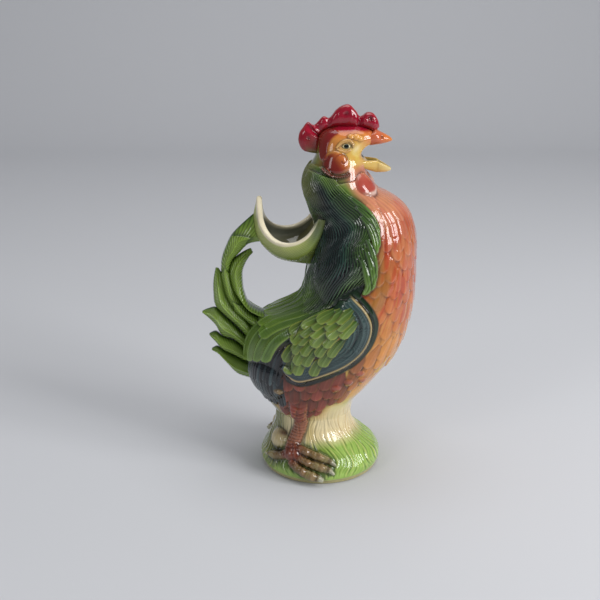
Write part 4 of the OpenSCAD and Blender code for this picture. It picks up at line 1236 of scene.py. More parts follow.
def lining():
    """The inner surface over half the bird, closed at its top and bottom, plus its mirror image."""
    edges = [HOLE_HALF - 0.1, 180 - HOLE_HALF + 0.1]
    angles = np.sort(np.concatenate([np.linspace(0, 180, 61), edges]))
    levels = np.linspace(-BASE_LEVELS, 24.4, 110)
    levels = np.unique(np.concatenate([levels, WINDOW["levels"], MOUTH["levels"]]))
    a, lev = np.meshgrid(angles, levels)
    points = inner(*rounded(a, lev))
    top = points[-1:].mean(1, keepdims=True) + np.zeros_like(points[-1:])
    floor = points[:1].mean(1, keepdims=True) + np.zeros_like(points[:1])
    floor[..., 1], top[..., 1] = 0, 0
    points = np.concatenate([floor, points, top])
    keep = np.ones((len(points) - 1, a.shape[1] - 1), bool)
    keep[1:-1] = ~opened((a[:-1, :-1] + a[1:, 1:]) / 2, (lev[:-1, :-1] + lev[1:, 1:]) / 2)
    faces = grid_faces(points.shape[0], points.shape[1], keep, flip=True)
    used, faces = used_points(points.reshape(-1, 3), faces)
    half = points.reshape(-1, 3)[used]
    both = np.concatenate([mirrored(half, 1), mirrored(half, -1)])
    return both, np.concatenate([faces, faces[:, ::-1] + len(half)])


def opening_wall(hole):
    """A strip round an opening: from the outside, at the grid's own edge, in to the lining."""
    a0, a1 = np.clip(hole["angles"], 0, 180)
    l0, l1 = hole["levels"]
    angles = square_angle[0]
    a_in = angles[(angles >= a0) & (angles <= a1)]
    l_in = row_levels[(row_levels >= l0) & (row_levels <= l1)]
    free = a_in[-1] if a0 == 0 else a_in[0]
    seam = a_in[0] if a0 == 0 else a_in[-1]
    low = [(a, l_in[0]) for a in (a_in if a0 == 0 else a_in[::-1])]
    high = [(a, l_in[-1]) for a in (a_in[::-1] if a0 == 0 else a_in)]
    path = np.array(low + [(free, lv) for lv in l_in[1:-1]] + high)
    rows = np.searchsorted(row_levels, path[:, 1] - 1e-9)
    cols = np.searchsorted(angles, path[:, 0] - 1e-9)
    outer = surface[rows, cols]
    inside = inner(*rounded(path[:, 0], path[:, 1]))
    inside[path[:, 0] == seam, 1] = 0
    share = np.linspace(0, 1, 7)[:, None, None]
    strip = mix(outer[None], inside[None], share)
    return strip


lining_points, lining_faces = lining()
groups, face_groups, total = [lining_points], [lining_faces], len(lining_points)
for hole, turn in ((WINDOW, True), (MOUTH, False)):
    strip = opening_wall(hole)
    for side in (1, -1):
        flat = mirrored(strip.reshape(-1, 3), side)
        faces = grid_faces(strip.shape[0], strip.shape[1], flip=(side > 0) == turn)
        groups.append(flat)
        face_groups.append(faces + total)
        total += len(flat)
lining_points, lining_faces = np.concatenate(groups), np.concatenate(face_groups)
inside_tone = mix(mix(GREY, OLIVE, 0.35), GREY, ease((lining_points[:, 2:] - 0.15) / 0.1))
inside_tone = mix(inside_tone, mix(UMBER, OLIVE, 0.3), ease((lining_points[:, 2:] - 0.268) / 0.008))
lining_piece = add_mesh("inside_glaze", lining_points, lining_faces, None, inside_tone)
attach(lining_piece, "root")
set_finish(lining_piece, "collar_glaze")
skin_pieces.append(lining_piece)
print("lining faces:", len(lining_faces))

# %% [markdown]
# ## The filling collar
#
# Behind the neck a scoop rises like a horseshoe. The table gives its stations from the
# neck to the keel, and its other side is the mirror image. At each station a curve
# runs through four points, from the neck's skin to the rim. The inside is the same
# surface one wall in, and a half round lip joins the two.

# %% Filling collar
# Neck angle and level, then x, y and z of a low point, a high point and the rim.
COLLAR_SHARES = np.array([
    [131, 14.6, 0.008, -0.278, 0.7206, -0.005, -0.280, 0.7226, -0.015, -0.278, 0.7235],
    [137, 14.0, -0.010, -0.292, 0.6942, -0.026, -0.294, 0.6951, -0.038, -0.287, 0.6971],
    [143, 13.5, -0.031, -0.292, 0.6640, -0.054, -0.301, 0.6680, -0.071, -0.296, 0.6735],
    [150, 12.8, -0.071, -0.287, 0.6330, -0.102, -0.306, 0.6440, -0.128, -0.292, 0.6574],
    [158, 12.15, -0.122, -0.241, 0.6120, -0.168, -0.273, 0.6300, -0.194, -0.264, 0.6559],
    [166, 11.7, -0.173, -0.167, 0.6040, -0.230, -0.208, 0.6340, -0.250, -0.204, 0.6721],
    [173, 11.5, -0.204, -0.088, 0.6060, -0.283, -0.116, 0.6529, -0.286, -0.120, 0.7059],
    [180, 11.4, -0.219, 0, 0.6162, -0.309, 0, 0.6824, -0.296, 0, 0.7574],
])
# Angle and level on the neck where the inside ends at each station.
COLLAR_SEATS = np.array([
    [139, 14.75], [144.5, 14.2], [150, 13.75], [156, 13.15],
    [163, 12.5], [169.5, 12.1], [175.5, 11.9], [180, 11.8],
])
KEEL = 7
SCALE = np.array([PITCHER_LENGTH, BODY_WIDTH, PITCHER_HEIGHT])


def collar(station, t):
    """A point of the collar's outside: the curve through its four points at that station, on one side
    of the keel or mirrored to the other."""
    station, t = np.broadcast_arrays(np.asarray(station, float), np.asarray(t, float))
    r = level(COLLAR_SHARES, np.where(station > KEEL, 2 * KEEL - station, station))
    neck = skin(r[..., 0], r[..., 1])
    p = [neck] + [r[..., k : k + 3] * SCALE for k in (2, 5, 8)]
    p = [p[0] * 2 - p[1]] + p + [p[3] * 2 - p[2]]
    curve = np.stack(p)
    first = np.clip(np.floor(t), 0, 2).astype(int)
    at = first[None, ..., None] + np.zeros(curve[:1].shape, int)
    q = smooth_curve(*(np.take_along_axis(curve, at + k, 0)[0] for k in range(4)), (t - first)[..., None])
    return q * np.stack([np.ones_like(t), np.where(station > KEEL, -1, 1), np.ones_like(t)], -1)


def collar_piece():
    """Outside, lip and inside as one closed grid, with small scales pressed into the outside."""
    stations = np.linspace(0, 2 * KEEL, int(300 * DETAIL))
    t_out = np.linspace(0, 3, int(80 * DETAIL))
    s_out, t_grid = np.meshgrid(stations, t_out)
    outside = collar(s_out, t_grid)
    out = grid_normals(outside)
    run = s_out / (2 * KEEL)
    scales = np.cos(run * 300) * np.cos(t_grid * 16 + 1.57 * np.floor(run * 300 / math.pi))
    bumps = 0.28 * MM * np.abs(scales) * ease((2.7 - t_grid) / 0.5) * ease(t_grid / 0.3)
    seat = level(COLLAR_SEATS, np.where(stations > KEEL, 2 * KEEL - stations, stations))
    foot = skin(seat[:, 0], seat[:, 1])
    foot[:, 1] *= np.where(stations > KEEL, -1, 1)
    t_in = np.linspace(3, 0.15, int(50 * DETAIL))
    s_in, t_in_grid = np.meshgrid(stations, t_in)
    inner_base = collar(s_in, t_in_grid)
    thick = WALL * ease(np.minimum(s_in, 2 * KEEL - s_in) / 1.2 + 0.25)
    inside = inner_base + grid_normals(inner_base) * thick[..., None]
    inside = np.concatenate([inside, (foot + unit(foot - inside[-1]) * 1.5 * MM)[None]])
    rim_out, rim_in = outside[-1], inside[0]
    middle, reach = (rim_out + rim_in) / 2, np.linalg.norm(rim_out - rim_in, axis=-1, keepdims=True) / 2
    rise = unit(outside[-1] - outside[-4])
    aside = unit(rim_out - rim_in)
    bend = np.linspace(0, math.pi, 11)[1:-1, None, None]
    lip = middle[None] + reach[None] * (np.cos(bend) * aside[None] + 0.9 * np.sin(bend) * rise[None])
    outside = outside + out * bumps[..., None]
    grid = np.concatenate([outside, lip, inside])
    down = 1 - np.linspace(0, 1, len(inside))[:, None, None] * np.ones(lip.shape[1:2] + (1,))
    h = np.concatenate([t_grid[:, :, None] / 3, np.ones(lip.shape[:2] + (1,)), down])
    n_out, n_lip = len(outside), len(lip)
    station = np.broadcast_to(stations[None, :, None], grid.shape[:2] + (1,))
    near_neck = ease((3.2 - np.minimum(station, 2 * KEEL - station)) / 2.6)
    shell = mix(mix(OLIVE, LIME, 0.45), mix(LIME, CREAM, 0.35), ease((h - 0.45) / 0.6))
    shell = mix(shell, mix(TEAL, OLIVE, 0.35), 0.85 * near_neck * ease((1.25 - h) / 0.5))
    groove = np.concatenate([np.abs(scales), np.ones(grid.shape[:2])[n_out:]])[..., None]
    shell = shell * mix(0.72, 1.05, groove)
    rim = mix(CREAM, PEARL, 0.5)
    # Inside the scoop the glaze is grey olive, and painted shade darkens it towards olive umber deeper down
    # and near the neck.
    well_glaze_and_shade = mix(mix(GREY, OLIVE, 0.25), mix(OLIVE, UMBER, 0.6), ease((0.8 - h) / 0.5) * 0.85)
    well_glaze_and_shade = mix(well_glaze_and_shade, mix(OLIVE, UMBER, 0.55), 0.85 * near_neck)
    row = np.arange(len(grid))[:, None, None]
    paint = np.where(row < n_out, mix(shell, rim, ease((h - 0.90) / 0.08)), rim)
    paint = np.where(row >= n_out + n_lip, mix(rim, well_glaze_and_shade, ease((row - n_out - n_lip) / 5)), paint)
    at_neck = ease((1.5 - np.minimum(station, 2 * KEEL - station)) / 1.2)
    paint = mix(paint, mix(BOTTLE, OLIVE, 0.45), 0.92 * at_neck)
    faces = grid_faces(*grid.shape[:2])
    piece = add_mesh("filling_collar_glazed", grid, faces, grid_normals(grid), paint)
    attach(piece, "root")
    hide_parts("filling_collar")
    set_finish(piece, "collar_glaze")
    return piece


collar_object = collar_piece()
skin_pieces.append(collar_object)
print("collar points:", len(collar_object.data.vertices))

# %% [markdown]
# ## Tail feathers and handle
#
# The handle is a stack of tail feathers. Each one is a leaf swept from the back: at
# every station an oval joins its outer and inner edge, and its first oval lies on
# the skin, so it grows out of the back. Barbs run at a slant from a rib down its
# middle, and short tiers overlap along it.

# %% Tail feathers
# Root on the back (low level, high level, half angle), number of tiers, then the stations:
# outer edge's x and z, inner edge's x and z, half thickness share.
TAIL = {
    "tail_handle": ((5.98, 6.63, 13), 3.0, [
        [-0.375, 0.4290, -0.336, 0.4460, 1],
        [-0.415, 0.4530, -0.367, 0.4690, 1],
        [-0.446, 0.4900, -0.397, 0.4990, 1],
        [-0.459, 0.5250, -0.414, 0.5290, 1],
        [-0.465, 0.5580, -0.422, 0.5590, 1],
        [-0.462, 0.5900, -0.410, 0.5870, 1],
        [-0.442, 0.6240, -0.377, 0.6090, 1],
        [-0.404, 0.6640, -0.335, 0.6320, 0.9],
    ]),
    "curled_sickle": ((6.67, 7.25, 12), 1.0, [
        [-0.343, 0.4520, -0.300, 0.4505, 1.1],
        [-0.377, 0.4760, -0.338, 0.4680, 1.1],
        [-0.407, 0.5020, -0.358, 0.5000, 1.05],
        [-0.424, 0.5300, -0.364, 0.5290, 1.0],
        [-0.430, 0.5600, -0.363, 0.5570, 0.95],
        [-0.412, 0.5870, -0.350, 0.5790, 0.8],
        [-0.374, 0.6060, -0.332, 0.5970, 0.5],
        [-0.329, 0.6200, -0.316, 0.6080, 0.2],
    ]),
    "outer_sickle": ((5.24, 5.94, 14), 1.0, [
        [-0.404, 0.4060, -0.362, 0.4310, 1],
        [-0.454, 0.4340, -0.402, 0.4570, 1],
        [-0.497, 0.4620, -0.436, 0.4900, 0.95],
        [-0.504, 0.4980, -0.450, 0.5250, 0.8],
        [-0.502, 0.5300, -0.458, 0.5450, 0.6],
        [-0.490, 0.5640, -0.475, 0.5640, 0.2],
    ]),
    "upper_covert": ((4.5, 5.2, 15), 1.0, [
        [-0.411, 0.3620, -0.402, 0.4020, 1],
        [-0.466, 0.3740, -0.452, 0.4300, 1],
        [-0.499, 0.4040, -0.492, 0.4530, 0.8],
        [-0.533, 0.4250, -0.530, 0.4500, 0.45],
        [-0.558, 0.4370, -0.556, 0.4430, 0.15],
    ]),
    "middle_covert": ((3.72, 4.46, 16), 1.0, [
        [-0.411, 0.3160, -0.409, 0.3580, 1],
        [-0.463, 0.3320, -0.463, 0.3700, 0.95],
        [-0.503, 0.3560, -0.497, 0.3840, 0.65],
        [-0.527, 0.3710, -0.526, 0.3780, 0.18],
    ]),
    "lower_covert": ((2.6, 3.68, 17), 1.0, [
        [-0.394, 0.2600, -0.408, 0.3120, 1],
        [-0.446, 0.2920, -0.459, 0.3280, 0.9],
        [-0.486, 0.3170, -0.492, 0.3400, 0.6],
        [-0.517, 0.3270, -0.517, 0.3340, 0.18],
    ]),
}
AROUND = int(128 * DETAIL)


def closed_piece(name, grid, paint, slot, *nodes):
    """A grid whose columns run right round, as a mesh that rides on the body and stands for its nodes."""
    grid = np.clip(grid, BOX_LOW, BOX_HIGH)
    normals, turned = closed_normals(grid)
    faces = grid_faces(*grid.shape[:2], closed=True, flip=turned)
    piece = add_mesh(name, grid, faces, normals, paint)
    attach(piece, "root")
    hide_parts(*nodes)
    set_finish(piece, slot)
    skin_pieces.append(piece)
    return piece


def tail_feather(name, root, tiers, rows):
    """Ovals from the root on the back to the tip. The surface is moved along its normal by the sum of a
    rib, slanted barbs and a hollow on each side of it, and tiers that step down along the handle."""
    t0, t1, half_a = root
    g = np.linspace(0, 2 * math.pi, AROUND, endpoint=False)
    f = (1 - np.cos(g)) / 2
    rings = [skin(180 - half_a * np.sin(g), mix(t0, t1, f)) - 0.6 * MM * outward(180, (t0 + t1) / 2)]
    for r in rows:
        rings.append(np.stack([
            PITCHER_LENGTH * mix(r[0], r[2], f),
            -TAIL_HALF * r[4] * np.sin(g),
            PITCHER_HEIGHT * mix(r[1], r[3], f),
        ], -1))
    if name == "tail_handle":
        rings.append(collar(KEEL - 0.75 * np.sin(g), 1.95 + 0.5 * np.cos(g)))
    else:
        rings.append(rings[-1].mean(0) + np.zeros_like(rings[-1]))
    grid, s = loft(rings, int(26 * DETAIL * (len(rings) - 1)))
    along = np.concatenate([[0], np.cumsum(np.linalg.norm(np.diff(grid.mean(1), axis=0), axis=1))])
    width = np.linalg.norm(grid[:, 0] - grid[:, AROUND // 2], axis=-1)
    from_rib = np.abs(f[None] - 0.5) * width[:, None]
    side = np.abs(np.sin(g))[None]
    barb = 0.5 + 0.5 * np.cos(2 * math.pi * (along[:, None] - 1.3 * from_rib) / (3.0 * MM))
    tier = (tiers * s[:, None] + 0.5 * from_rib / np.maximum(width[:, None], 1e-4) + 0.15) % 1
    rib = np.exp(-((from_rib / (0.9 * MM)) ** 2))
    ends = ease(s[:, None] / 0.08) * ease((1 - s[:, None]) / 0.1)
    lift = (-0.48 * MM * barb * ease(from_rib / (0.8 * MM)) + 0.5 * MM * rib) * side
    lift = lift + (1.1 * MM * (tier - 0.5) * side if tiers > 1 else 0)
    beside_rib = (from_rib - 0.22 * width[:, None]) / (0.16 * width[:, None] + 1e-4)
    hollow = -1.2 * MM * np.exp(-(beside_rib**2)) * side
    normals = closed_normals(grid)[0]
    grid = grid + normals * ((lift + hollow) * ends)[..., None]
    if name == "tail_handle":
        grid[-1] = rings[-1] - 0.5 * MM * unit(rings[-1] - grid[-2])
    tone = mix(mix(LEAF, BOTTLE, 0.3), mix(LEAF, LIME, 0.75), (side * ease(0.5 + s[:, None]))[..., None])
    tone = tone * mix(1.0, 0.50, (barb**2 * ease(from_rib / (0.8 * MM)))[..., None])
    tone = mix(tone, mix(LIME, LEAF, 0.4), (0.6 * rib * side)[..., None])
    tone = mix(tone, BOTTLE, (0.85 * ease((0.30 - side) / 0.30))[..., None])
    if tiers > 1:
        tone = mix(tone, BOTTLE, (0.7 * ease((0.14 - tier) / 0.14))[..., None])
    return closed_piece(name + "_glazed", grid, tone, "tail_glaze", name)


for name, (root, tiers, rows) in TAIL.items():
    made = tail_feather(name, root, tiers, rows)
    print(made.name, "has", len(made.data.vertices), "points")

# %% [markdown]
# ## Comb
#
# The comb is a thick fleshy crest with rounded lobes. Ovals run from its foot on the
# crown to its edge. It gets thinner in the valleys between two lobes, and each lobe
# has a hollow curl pressed into its side.

# %% Comb
# Foot's x and z, edge's x and z, thickness share.
COMB_SHARES = np.array([
    [-0.010, 0.8760, -0.044, 0.8770, 0.6],
    [-0.005, 0.8840, -0.086, 0.8830, 0.95],
    [-0.004, 0.8930, -0.106, 0.9040, 1.1],
    [-0.004, 0.9040, -0.103, 0.9260, 1.1],
    [-0.006, 0.9140, -0.088, 0.9400, 1.0],
    [-0.0145, 0.9240, -0.064, 0.9550, 0.7],
    [-0.007, 0.9310, -0.036, 0.9480, 0.75],
    [0.003, 0.9375, 0.002, 0.9690, 0.65],
    [0.020, 0.9420, 0.030, 0.9660, 0.8],
    [0.046, 0.9460, 0.059, 0.9860, 0.9],
    [0.075, 0.9462, 0.088, 0.9970, 1],
    [0.105, 0.9462, 0.118, 0.9990, 1],
    [0.135, 0.9462, 0.146, 0.9840, 0.9],
    [0.160, 0.9460, 0.166, 0.9700, 0.85],
    [0.184, 0.9452, 0.196, 0.9800, 1],
    [0.204, 0.9415, 0.224, 0.9770, 1],
    [0.218, 0.9365, 0.245, 0.9600, 0.9],
    [0.226, 0.9310, 0.252, 0.9420, 0.5],
])
VALLEYS = (4.7, 6.2, 8.0, 12.9)
# Place along the comb, share of the way from foot to edge, size and depth in millimetres.
CURLS = ((3.0, 0.6, 4.5, 1.3), (10.6, 0.62, 5.0, 1.3), (14.6, 0.66, 5.0, 2.2))


def comb():
    """Ovals between foot and edge, with the half thickness cut by a bell curve in each valley."""
    g = np.linspace(0, 2 * math.pi, AROUND, endpoint=False)
    f = (1 + np.cos(g)) / 2
    last = len(COMB_SHARES) - 1
    t = np.linspace(0, last, int(230 * DETAIL))
    r = level(COMB_SHARES, t)
    foot = np.stack([PITCHER_LENGTH * r[:, 0], 0 * t, PITCHER_HEIGHT * r[:, 1] - 1.2 * MM], -1)
    edge = np.stack([PITCHER_LENGTH * r[:, 2], 0 * t, PITCHER_HEIGHT * r[:, 3]], -1)
    thick = r[:, 4].copy()
    for valley in VALLEYS:
        thick *= 1 - 0.42 * np.exp(-(((t - valley) / 0.45) ** 2))
    ends = np.sqrt(np.clip(1 - np.abs(2 * t / last - 1) ** 24, 0, 1))
    side_way = np.sign(np.sin(g)) * np.abs(np.sin(g)) ** 0.75
    grid = foot[:, None] + (edge - foot)[:, None] * f[None, :, None]
    grid[..., 1] = -COMB_HALF * (thick * ends)[:, None] * side_way[None]
    span = np.linalg.norm(edge - foot, axis=-1)
    dent = np.zeros(grid.shape[:2])
    run = np.concatenate([[0], np.cumsum(np.linalg.norm(np.diff(edge, axis=0), axis=1))])
    for at, high, size, depth in CURLS:
        dx = (run[:, None] - np.interp(at, t, run)) * mix(0.75, 1.0, f[None])
        dz = (f[None] - high) * span[:, None]
        d = np.hypot(dx, dz) / (size * MM)
        dent += depth * MM * (np.exp(-((d / 0.42) ** 2)) - 0.35 * np.exp(-(((d - 0.95) / 0.28) ** 2)))
    push = 1 - 1 / COMB_HALF * np.clip(dent, -2 * MM, 3 * MM)
    grid[..., 1] *= np.clip(push, 0.3, 1.0 / np.maximum(thick[:, None], 0.5))
    low = ease((0.45 - f) / 0.4)[None, :, None]
    tone = mix(CRIMSON, mix(CRIMSON, CHERRY, 0.8), low + 0 * t[:, None, None])
    tone = mix(tone, mix(CRIMSON, CORAL, 0.5), (0.5 * ease((f - 0.86) / 0.12))[None, :, None])
    rear = ease((4.5 - t) / 2)[:, None, None] * ease((0.95 - f) / 0.5)[None, :, None]
    tone = mix(tone, mix(CHERRY, RUST, 0.5), 0.7 * rear)
    # Painted shadow: the underside of the overhanging rear lobe turns olive umber.
    under = (ease((2.2 - t) / 1.4)[:, None] * ease((0.92 - f) / 0.3)[None])[..., None]
    tone = mix(tone, mix(OLIVE, UMBER, 0.5), 0.85 * under)
    tone = tone * mix(1.0, 0.55, np.clip(dent / (1.6 * MM), 0, 1)[..., None])
    return closed_piece("comb_glazed", grid, tone, "comb_glaze", "comb")


print("comb points:", len(comb().data.vertices))

# %% [markdown]
# ## Beak and eyes
#
# The beak stands open. Its upper half hooks down, and its lower half is a trough
# that the drink runs along. The eyes are small domes in their sockets, painted as an
# almond with a dark middle.

# %% Upper beak
# x, top z, bottom z, half width share.
UPPER_BEAK_SHARES = [
    [0.233, 0.9390, 0.8965, 1.05],
    [0.258, 0.9310, 0.8985, 0.82],
    [0.280, 0.9245, 0.9015, 0.56],
    [0.297, 0.9185, 0.9045, 0.34],
    [0.307, 0.9135, 0.9068, 0.15],
]


def upper_beak():
    """Ovals from a root on the face to the tip, with a nostril dent on each side."""
    g = np.linspace(0, 2 * math.pi, AROUND, endpoint=False)
    rings = [skin(36 * np.sin(g), 22.9 + 1.05 * np.cos(g)) - 0.6 * MM * outward(0, 22.75)]
    for r in UPPER_BEAK_SHARES:
        z = mix(r[2], r[1], (1 + np.cos(g)) / 2)
        x, y = PITCHER_LENGTH * r[0] + 0 * g, -BEAK_HALF * r[3] * np.sin(g)
        rings.append(np.stack([x, y, PITCHER_HEIGHT * z], -1))
    rings.append(rings[-1].mean(0) + [0.6 * MM, 0, -0.6 * MM] + np.zeros_like(rings[-1]))
    grid, s = loft(rings, int(60 * DETAIL))
    aside = np.abs(np.sin(g))[None] * np.exp(-(((s[:, None] - 0.36) / 0.045) ** 2))
    nostril = aside * np.exp(-(((np.cos(g)[None] - 0.35) / 0.28) ** 2))
    grid[..., 1] *= 1 - 0.22 * nostril
    tone = mix(mix(CORAL, ORANGE, 0.4), ORANGE, ease((s - 0.25) / 0.3)[:, None, None] + 0 * g[None, :, None])
    root_below = (ease((0.45 - s) / 0.3)[:, None] * ease(-np.cos(g))[None])[..., None]
    tone = mix(tone, mix(CORAL, CHERRY, 0.4), 0.6 * root_below)
    tone = mix(tone, HONEY, ease((s - 0.72) / 0.25)[:, None, None])
    tone = mix(tone, UMBER, 0.7 * nostril[..., None])
    return closed_piece("upper_beak_glazed", grid, tone, "beak_glaze", "upper_beak")


upper_beak()

# %% Lower beak
# x, upper edge's z, keel's z, trough's z, half width share.
LOWER_BEAK_SHARES = [
    [0.235, 0.8590, 0.8260, 0.8480, 0.82],
    [0.252, 0.8550, 0.8255, 0.8440, 0.75],
    [0.268, 0.8500, 0.8255, 0.8405, 0.66],
    [0.281, 0.8460, 0.8260, 0.8375, 0.56],
    [0.292, 0.8420, 0.8270, 0.8350, 0.44],
    [0.306, 0.8370, 0.8300, 0.8335, 0.22],
]


def lower_beak():
    """Each ring is half an oval below and a flatter half oval above it, which makes the trough."""
    g = np.linspace(0, math.pi, AROUND // 2)
    c, s = np.cos(g), np.sin(g)
    under = skin(36 * c, 20.2 - 1.2 * s)
    over = skin(24 * c, 20.25 - 0.5 * s)
    rings = [np.concatenate([under, over[::-1]]) - [0.6 * MM, 0, 0]]
    for r in LOWER_BEAK_SHARES:
        x = PITCHER_LENGTH * r[0] + 0 * g
        under = np.stack([x, -BEAK_HALF * r[4] * c, PITCHER_HEIGHT * mix(r[1], r[2], s)], -1)
        over = np.stack([x, -BEAK_HALF * r[4] * 0.66 * c, PITCHER_HEIGHT * mix(r[1] + 0.001, r[3], s)], -1)
        rings.append(np.concatenate([under, over[::-1]]))
    rings.append(rings[-1].mean(0) + [0.4 * MM, 0, 0] + np.zeros_like(rings[-1]))
    grid, t = loft(rings, int(70 * DETAIL))
    for _ in range(3):
        grid = 0.25 * np.roll(grid, 1, 1) + 0.5 * grid + 0.25 * np.roll(grid, -1, 1)
    inside = np.concatenate([0 * s, s[::-1]])[None, :, None]
    tone = mix(mix(YELLOW, HONEY, 0.4), mix(CREAM, YELLOW, 0.35), t[:, None, None] + 0 * inside)
    in_trough = ease(inside * 1.4) * ease((0.8 - t) / 0.5)[:, None, None]
    tone = mix(tone, mix(OLIVE, UMBER, 0.35), 0.85 * in_trough)
    return closed_piece("lower_beak_glazed", grid, tone, "beak_glaze", "lower_beak")


lower_beak()

# %% Eyes


def eye(name, side):
    """A dome on the socket: an oval cut to an almond, with rings of colour by distance from its middle."""
    at, lift = (85, 22.2), -1.0 * MM
    centre, out = skin(*at), outward(*at)
    up = unit(np.array([0, 0, 1.0]) - out[2] * out)
    forward = np.cross(out, -up)
    g = np.linspace(0, 2 * math.pi, 64, endpoint=False)
    r = np.linspace(1, 0, 24)[:, None]
    reach_x = 3.7 * MM * r * np.cos(g)
    reach_y = 2.3 * MM * r * np.sin(g) * np.sqrt(np.clip(1 - 0.55 * np.cos(g) ** 4, 0, 1))
    dome = lift + 1.9 * MM * np.sqrt(1 - 0.97 * r**2) + 0 * g
    grid = centre + reach_x[..., None] * forward + reach_y[..., None] * up + dome[..., None] * out
    d = np.hypot(reach_x / (2.2 * MM), reach_y / (1.9 * MM))[..., None]
    tone = mix(glaze(10, 14, 12), glaze(36, 52, 30), ease((d - 0.55) / 0.3))
    tone = mix(tone, mix(CREAM, OLIVE, 0.25), ease((d - 0.95) / 0.2))
    tone = mix(tone, UMBER, ease((r - 0.86) / 0.1)[..., None] + 0 * d)
    return closed_piece("eye_glazed_" + name, mirrored(grid, side), tone, "eye_glaze", "eye_" + name)


for name, side in SIDES.items():
    eye(name, side)
print("head pieces made")

# %% [markdown]
# ## Glaze material
#
# Glaze is coloured glass over clay, so the material is a Principled shader with a
# sharp clear coat. The colour is the painted attribute. A shared node group adds
# what the kiln does: faint mottling of the colour, small changes of gloss, and a
# very fine ripple in the surface.


# %% Kiln group
def add_node(tree, kind, inputs=None, **settings):
    """A shader node with its settings, and with constants on some of its input sockets."""
    made = tree.nodes.new("ShaderNode" + kind)
    for key, value in settings.items():
        setattr(made, key, value)
    for key, value in (inputs or {}).items():
        made.inputs[key].default_value = value
    return made


def kiln_group():
    """Colour and mottling in; colour, roughness and ripple height out. Noise drives all three."""
    group = bpy.data.node_groups.new("kiln", "ShaderNodeTree")
    face, join = group.interface, group.links.new
    face.new_socket("Colour", in_out="INPUT", socket_type="NodeSocketColor")
    for name, value in (("Mottle", 0.2), ("Spot scale", 90.0), ("Gloss", 0.12)):
        socket = face.new_socket(name, in_out="INPUT", socket_type="NodeSocketFloat")
        socket.default_value = value
    face.new_socket("Colour", in_out="OUTPUT", socket_type="NodeSocketColor")
    face.new_socket("Roughness", in_out="OUTPUT", socket_type="NodeSocketFloat")
    face.new_socket("Ripple", in_out="OUTPUT", socket_type="NodeSocketFloat")
    take, give = group.nodes.new("NodeGroupInput"), group.nodes.new("NodeGroupOutput")
    place = add_node(group, "TexCoord")
    cloud = add_node(group, "TexNoise", {"Detail": 5.0, "Roughness": 0.6})
    shade = add_node(group, "MapRange", {"From Min": 0.3, "From Max": 0.7, "To Min": 0.72, "To Max": 1.18})
    spread = add_node(group, "Mix", data_type="RGBA", blend_type="MULTIPLY")
    gloss = add_node(group, "Math", {1: 0.08}, operation="MULTIPLY_ADD")
    ripple = add_node(group, "TexNoise", {"Scale": 160.0, "Detail": 2.0})
    join(place.outputs["Object"], cloud.inputs["Vector"])
    join(take.outputs["Spot scale"], cloud.inputs["Scale"])
    join(cloud.outputs["Fac"], shade.inputs["Value"])
    join(take.outputs["Mottle"], spread.inputs["Factor"])
    join(take.outputs["Colour"], spread.inputs["A"])
    join(shade.outputs["Result"], spread.inputs["B"])
    join(spread.outputs["Result"], give.inputs["Colour"])
    join(cloud.outputs["Fac"], gloss.inputs[0])
    join(take.outputs["Gloss"], gloss.inputs[2])
    join(gloss.outputs["Value"], give.inputs["Roughness"])
    join(place.outputs["Object"], ripple.inputs["Vector"])
    join(ripple.outputs["Fac"], give.inputs["Ripple"])
    return group


KILN = kiln_group()


def glaze_material(name, mottle, spots, gloss=0.16, coat=1.0, plain=None):
    """A Principled glaze. plain gives one colour, where a piece has no painted attribute."""
    material = bpy.data.materials.new(name)
    material.use_nodes = True
    tree, join = material.node_tree, material.node_tree.links.new
    shader = tree.nodes["Principled BSDF"]
    kiln = tree.nodes.new("ShaderNodeGroup")
    kiln.node_tree = KILN
    for key, value in (("Mottle", mottle), ("Spot scale", spots), ("Gloss", gloss)):
        kiln.inputs[key].default_value = value
    if plain is None:
        paint = add_node(tree, "Attribute", attribute_name="glaze")
        join(paint.outputs["Color"], kiln.inputs["Colour"])
    else:
        kiln.inputs["Colour"].default_value = (*plain, 1.0)
    bump = add_node(tree, "Bump", {"Strength": 0.6, "Distance": 0.12 * MM})
    join(kiln.outputs["Ripple"], bump.inputs["Height"])
    join(kiln.outputs["Colour"], shader.inputs["Base Color"])
    join(kiln.outputs["Roughness"], shader.inputs["Roughness"])
    join(bump.outputs["Normal"], shader.inputs["Normal"])
    shader.inputs["IOR"].default_value = 1.5
    shader.inputs["Specular IOR Level"].default_value = 0.15
    shader.inputs["Coat Weight"].default_value = coat
    shader.inputs["Coat Roughness"].default_value = 0.03
    shader.inputs["Coat IOR"].default_value = 1.5
    return material


# Mottling, number of spots and roughness of each glaze.
GLAZE_LOOKS = {
    "grass_glaze": (0.45, 70.0, 0.16),
    "breast_glaze": (0.45, 80.0, 0.16),
    "face_glaze": (0.35, 110.0, 0.16),
    "collar_glaze": (0.4, 70.0, 0.16),
    "tail_glaze": (0.5, 90.0, 0.16),
    "comb_glaze": (0.45, 90.0, 0.1),
    "beak_glaze": (0.3, 150.0, 0.16),
    "eye_glaze": (0.1, 200.0, 0.05),
}
GLAZES = {name: glaze_material(name, *look) for name, look in GLAZE_LOOKS.items()}
for piece in skin_pieces:
    piece.data.materials.append(GLAZES[piece["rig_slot"]])
foot_edge = glaze_material("foot_edge", 0.6, 240.0, gloss=0.3, coat=0.5, plain=mix(OLIVE, CREAM, 0.4))
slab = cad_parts["foot_slab"]
slab.data.materials.clear()
slab.data.materials.append(foot_edge)
print("glazed", len(skin_pieces), "pieces")

# %% [markdown]
# ## Table, light and camera
#
# The pitcher stands on a pale seamless sweep. A tall window to the right gives the
# crisp white reflections that show how wet the glaze looks, a weaker one on the left
# and a soft one above fill the shadows. The camera looks down by 20 degrees.


